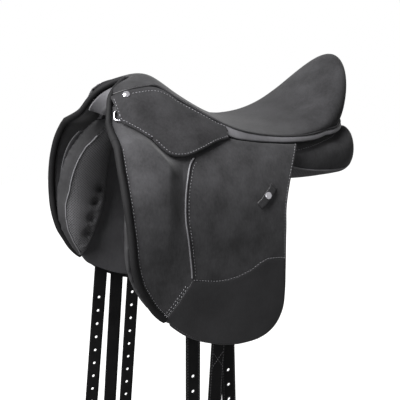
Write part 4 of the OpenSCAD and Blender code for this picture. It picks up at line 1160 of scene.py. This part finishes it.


# Sweat flaps wear the sweat look, whose lighter tone is painted light
sweat_shape = cut_sheet(smooth(SWEAT, 3), SWEAT_LOW, SWEAT_HIGH, on_sweat_flap, step=6.0)
for side in SIDES:
    sweat = piece(f"sweat_flap_sheet_{side}", sweat_shape, "sweat", side)
    rides(sweat, "root", f"sweat_flap_{side}")


# Rear panel cushions

panel_rows = smooth(PANEL_ROWS, 5)


def panel_section(x):
    """Middle y and z, half width and half height of a rear panel cushion at x."""
    return [np.interp(x, panel_rows[:, 0], panel_rows[:, k]) for k in (1, 2, 3, 4)]


def bowed(value, power):
    """Signed power."""
    return np.sign(value) * np.abs(value) ** power


def panel_point(x, angle):
    """Point of a rear panel cushion at an angle up from its outer side."""
    y, z, wide, high = panel_section(x)
    power = lookup(PANEL_POWER, x)
    return np.stack(np.broadcast_arrays(x, y + wide * bowed(np.cos(angle), power),
                                        z + high * bowed(np.sin(angle), power)), axis=-1)


def panel_angle(spots):
    """Angle of points of a rear panel cushion, up from its outer side."""
    y, z, wide, high = panel_section(spots[:, 0])
    power = lookup(PANEL_POWER, spots[:, 0])
    return np.arctan2(bowed((spots[:, 2] - z) / high, 1 / power), bowed((spots[:, 1] - y) / wide, 1 / power))


def panel_seam(table, lift):
    """Line on a rear panel cushion and its outward directions."""
    x = np.linspace(table[0][0], table[-1][0], 90)
    points = panel_point(x, lookup(table, x))
    out = unit(points - np.stack([x, *panel_section(x)[:2]], axis=-1))
    return points + out * lift, out


def under_piping(spots):
    """Which points of a rear panel cushion lie below its piping or on its inner side."""
    angle = panel_angle(spots)
    return (angle < lookup(PANEL_PIPING, spots[:, 0])) | (angle > PANEL_INNER)


def panel_sewn(spots):
    """Points of a rear panel cushion that stay: seams, upper side, inner side and the end under the tree."""
    x, angle = spots[:, 0], panel_angle(spots)
    piped = (np.abs(angle - lookup(PANEL_PIPING, x)) < PANEL_HELD[0]) & (x > PANEL_FREE[0])
    upper = angle > lookup(PANEL_STITCHES, x) - PANEL_HELD[1]
    return piped | upper | (angle < -PANEL_INNER) | (x > PANEL_FREE[1])


panel_shape = loft(panel_point(panel_rows[:, 0:1], full_turn(PANEL_TURNS)[None]))
line, out = panel_seam(PANEL_PIPING, 0.2)
# The rear end of the piping runs into the cushion
line[:10] -= out[:10] * np.linspace(3, 0, 10)[:, None]
panel_piping_shape = tube(line, PIPING_R, CORD_SIDES)
panel_thread = stitches(*panel_seam(PANEL_STITCHES, 0.1))


# Front panel cushions

def from_tuft(x, z):
    """Square of the distance to the nearest tuft."""
    return np.min([(x - q[0]) ** 2 + (z - q[1]) ** 2 for q in LEAF_TUFTS], axis=0)


def leaf_limits(z):
    """Front and rear x of a front cushion at a height, and x of its seam."""
    front, rear = lookup(LEAF_FRONT, z), lookup(LEAF_REAR, z)
    return front, rear, front + (rear - front) * lookup(LEAF_SEAM, z)


def leaf_height(spots):
    """Height of points of a front cushion, measured on its outer layer."""
    return ARC_Z + (ARC_R + PANEL_O) * np.sin(np.arctan2(spots[:, 2] - ARC_Z, spots[:, 1] - ARC_Y))


def before_leaf_seam(spots):
    """Which points of a front cushion lie before its seam."""
    return spots[:, 0] > leaf_limits(leaf_height(spots))[2]


def leaf_sewn(spots):
    """Points of a front cushion that stay: tufts, seam, rim and the side against the flap."""
    x, z = spots[:, 0], leaf_height(spots)
    depth = ARC_R + PANEL_O - np.hypot(spots[:, 2] - ARC_Z, spots[:, 1] - ARC_Y)
    rim, seam, tuft = LEAF_HELD
    return (depth < rim) | (np.abs(x - leaf_limits(z)[2]) < seam) | (from_tuft(x, z) < tuft ** 2)


def leaf_depth(t, u, x, z):
    """Thickness of a front cushion at the share t of its height and u of its width."""
    off = from_tuft(x, z)
    near = TUFT_D * np.exp(-off / TUFT_R ** 2) + TUFT_SAG * np.exp(-off / TUFT_SAG_R ** 2)
    wide, tall = (np.clip(1 - np.abs(2 * share - 1) ** p, 1e-4, 1) ** q
                  for share, (p, q) in zip((u, t), LEAF_CROWN))
    return np.maximum(LEAF_LEAST, LEAF_RIM + (LEAF_T - LEAF_LEAST) * wide * tall - near)


ts, us = (np.linspace(0, 1, n) for n in LEAF_GRID)
zs = LEAF_TOP - LEAF_DROP * ts
xs, zs = rows_between(zs, *leaf_limits(zs)[:2], us)
depth = leaf_depth(ts[:, None], us[None], xs, zs)
leaf_shape = grid_solid(on_side(xs, zs, PANEL_O, PANEL_O), on_side(xs, zs, PANEL_O - depth, PANEL_O))
ts = np.linspace(*LEAF_PIPING_RUN, 80)
zs = LEAF_TOP - LEAF_DROP * ts
xs = leaf_limits(zs)[2]
depth = leaf_depth(ts, lookup(LEAF_SEAM, zs), xs, zs)
leaf_piping_line = on_side(xs, zs, PANEL_O - depth - LEAF_PIPING_OUT, PANEL_O)
leaf_piping_shape = tube(leaf_piping_line, LEAF_PIPING_R, CORD_SIDES)

for side in SIDES:
    panel = piece(f"panel_cushion_{side}", panel_shape, "suede", side)
    puffed(panel, panel_sewn, *PANEL_SWELL)
    second_look(panel, "panel", under_piping)
    rides(panel, "root", f"panel_{side}", fill=0.8)
    rides(piece(f"panel_piping_{side}", panel_piping_shape, "piping", side), "root")
    rides(piece(f"panel_stitching_{side}", panel_thread, "thread", side), "root")
    leaf = piece(f"panel_front_cushion_{side}", leaf_shape, "panel", side)
    puffed(leaf, leaf_sewn, *LEAF_SWELL)
    second_look(leaf, "boxing", before_leaf_seam)
    rides(leaf, "root", f"panel_front_{side}", fill=0.75)
    rides(piece(f"panel_front_piping_{side}", leaf_piping_shape, "band", side), "root")


# Girth straps

def strap_shapes(rivet, layer, lean, first_hole, crossed):
    """Leather and stitching of a strap that hangs from its rivet, leaning by an angle in degrees."""
    cos, sin = math.cos(math.radians(lean)), math.sin(math.radians(lean))

    def hang(x, z, o):
        p = on_side(x, z, o, layer)
        dx, dz = p[..., 0], p[..., 2] - rivet[1]
        return np.stack([rivet[0] + dx * cos - dz * sin, p[..., 1], rivet[1] + dx * sin + dz * cos], axis=-1)

    half, tip = STRAP_W / 2, STRAP_W / 5
    head, shoulder = rivet[1] + STRAP_HEAD, STRAP_END + STRAP_TIP
    outline = [(-half, head), (half, head), (half, shoulder), (tip, STRAP_END), (-tip, STRAP_END),
               (-half, shoulder)]
    turn = full_turn(HOLE_SIDES)
    holes = []
    for n in range(HOLE_N if first_hole else 0):
        z = rivet[1] - first_hole - n * HOLE_PITCH
        holes.append(np.stack([HOLE_R * np.cos(turn), z + HOLE_R * np.sin(turn)], axis=1))
    rows = []
    for s in (-1, 1):
        x = s * (half - STRAP_SEWN)
        line = [(x, head - STRAP_SEWN_END), (x, shoulder + STRAP_SEWN_END)]
        rows.append(stitch_line(line, layer, hang, pitch=5.0, length=3.2, radius=0.4))
    for s in (-1, 1) if crossed else ():
        line = [(s * CROSS_HALF, CROSS_Z), (-s * CROSS_HALF, CROSS_Z - CROSS_DROP)]
        rows.append(stitch_line(line, layer, hang, pitch=4.0, length=3.0, radius=0.4))
    return cut_sheet(outline, layer - STRAP_T, layer, hang, step=5.0, edge=1.0, holes=holes), join(*rows)


for name, (places, rivet_z, layer, leans, first_holes) in STRAPS.items():
    for side, x, lean, first_hole in zip(SIDES, places, leans, first_holes):
        hide, sewn = strap_shapes((x, rivet_z), layer, lean, first_hole, name == "middle")
        body = f"girth_strap_{side}_{name}"
        rides(piece(f"{body}_leather", hide, "strap", side), body, body)
        rides(piece(f"{body}_stitching", sewn, "dark_thread", side), body)


# CAD pieces that keep their shape get their finish

def pairs(*names):
    """Left and right node of each name."""
    return [f"{name}_{side}" for name in names for side in SIDES]


FINISH = {
    "tree": ("tree", *pairs("tree_side")),
    "steel": ("gullet_plate", "gullet_screws", *pairs("stirrup_bar", "stirrup_catch", "girth_rivets")),
    "bright": pairs("skirt_rivet", "keeper_stud", "dee_ring"),
    "web": pairs("girth_web"),
    "strap": pairs("dee_chape")}
for look, names in FINISH.items():
    for name in names:
        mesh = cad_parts[name].data
        mesh.materials.clear()
        mesh.materials.append(LOOK[look])


# Floor: bright to the camera, dark to the light that it throws back

scene = bpy.context.scene
scene.view_settings.view_transform = "Standard"
floor_z = STRAP_END * MM - FLOOR_GAP
corners = [(x * FLOOR_REACH, y * FLOOR_REACH, floor_z) for x, y in ((-1, -1), (1, -1), (1, 1), (-1, 1))]
floor_mesh = bpy.data.meshes.new("floor")
floor_mesh.from_pydata(corners, [], [(0, 1, 2, 3)])
floor = bpy.data.objects.new("floor", floor_mesh)
scene.collection.objects.link(floor)
mat, tree, shader, spot = blank("floor")
seen = node(tree, "LightPath").outputs["Is Camera Ray"]
feed(tree, shader, {"Roughness": 0.8, "Base Color": spread(tree, seen, 0, 1, *FLOOR_TONES)})
glow = node(tree, "Emission", {"Strength": FLOOR_GLOW})
share = combine(tree, "MULTIPLY", seen, FLOOR_GLOW_SHARE)
mixed = node(tree, "MixShader", {"Fac": share, 1: shader.outputs[0], 2: glow.outputs[0]})
feed(tree, tree.nodes["Material Output"], {"Surface": mixed.outputs[0]})
floor_mesh.materials.append(mat)


# World: white to the camera, dim in mirrors and dimmer as light

scene.world = bpy.data.worlds.new("studio")
scene.world.use_nodes = True
tree = scene.world.node_tree
rays = node(tree, "LightPath").outputs
mirrored = combine(tree, "MULTIPLY", rays["Is Glossy Ray"], WORLD_MIRRORED)
seen = combine(tree, "MAXIMUM", rays["Is Camera Ray"], mirrored)
level = spread(tree, seen, 0, 1, WORLD_LIGHT, 1.0)
feed(tree, tree.nodes["Background"], {"Color": (1, 1, 1, 1), "Strength": level})


# Lights and camera

def aimed(obj, spot, target):
    """Put an object into the scene at a spot, facing a target."""
    obj.location = spot
    obj.rotation_euler = (Vector(target) - Vector(spot)).to_track_quat("-Z", "Y").to_euler()
    scene.collection.objects.link(obj)


for name, spot, size, power in SOFTBOXES:
    light = bpy.data.lights.new(name, "AREA")
    light.shape = "SQUARE"
    light.size = size
    light.energy = power
    aimed(bpy.data.objects.new(name, light), spot, LIGHT_AIM)

camera = bpy.data.objects.new("camera", bpy.data.cameras.new("camera"))
camera.data.sensor_width = 36
camera.data.lens = CAMERA_LENS
aimed(camera, CAMERA_SPOT, CAMERA_AIM)
scene.camera = camera
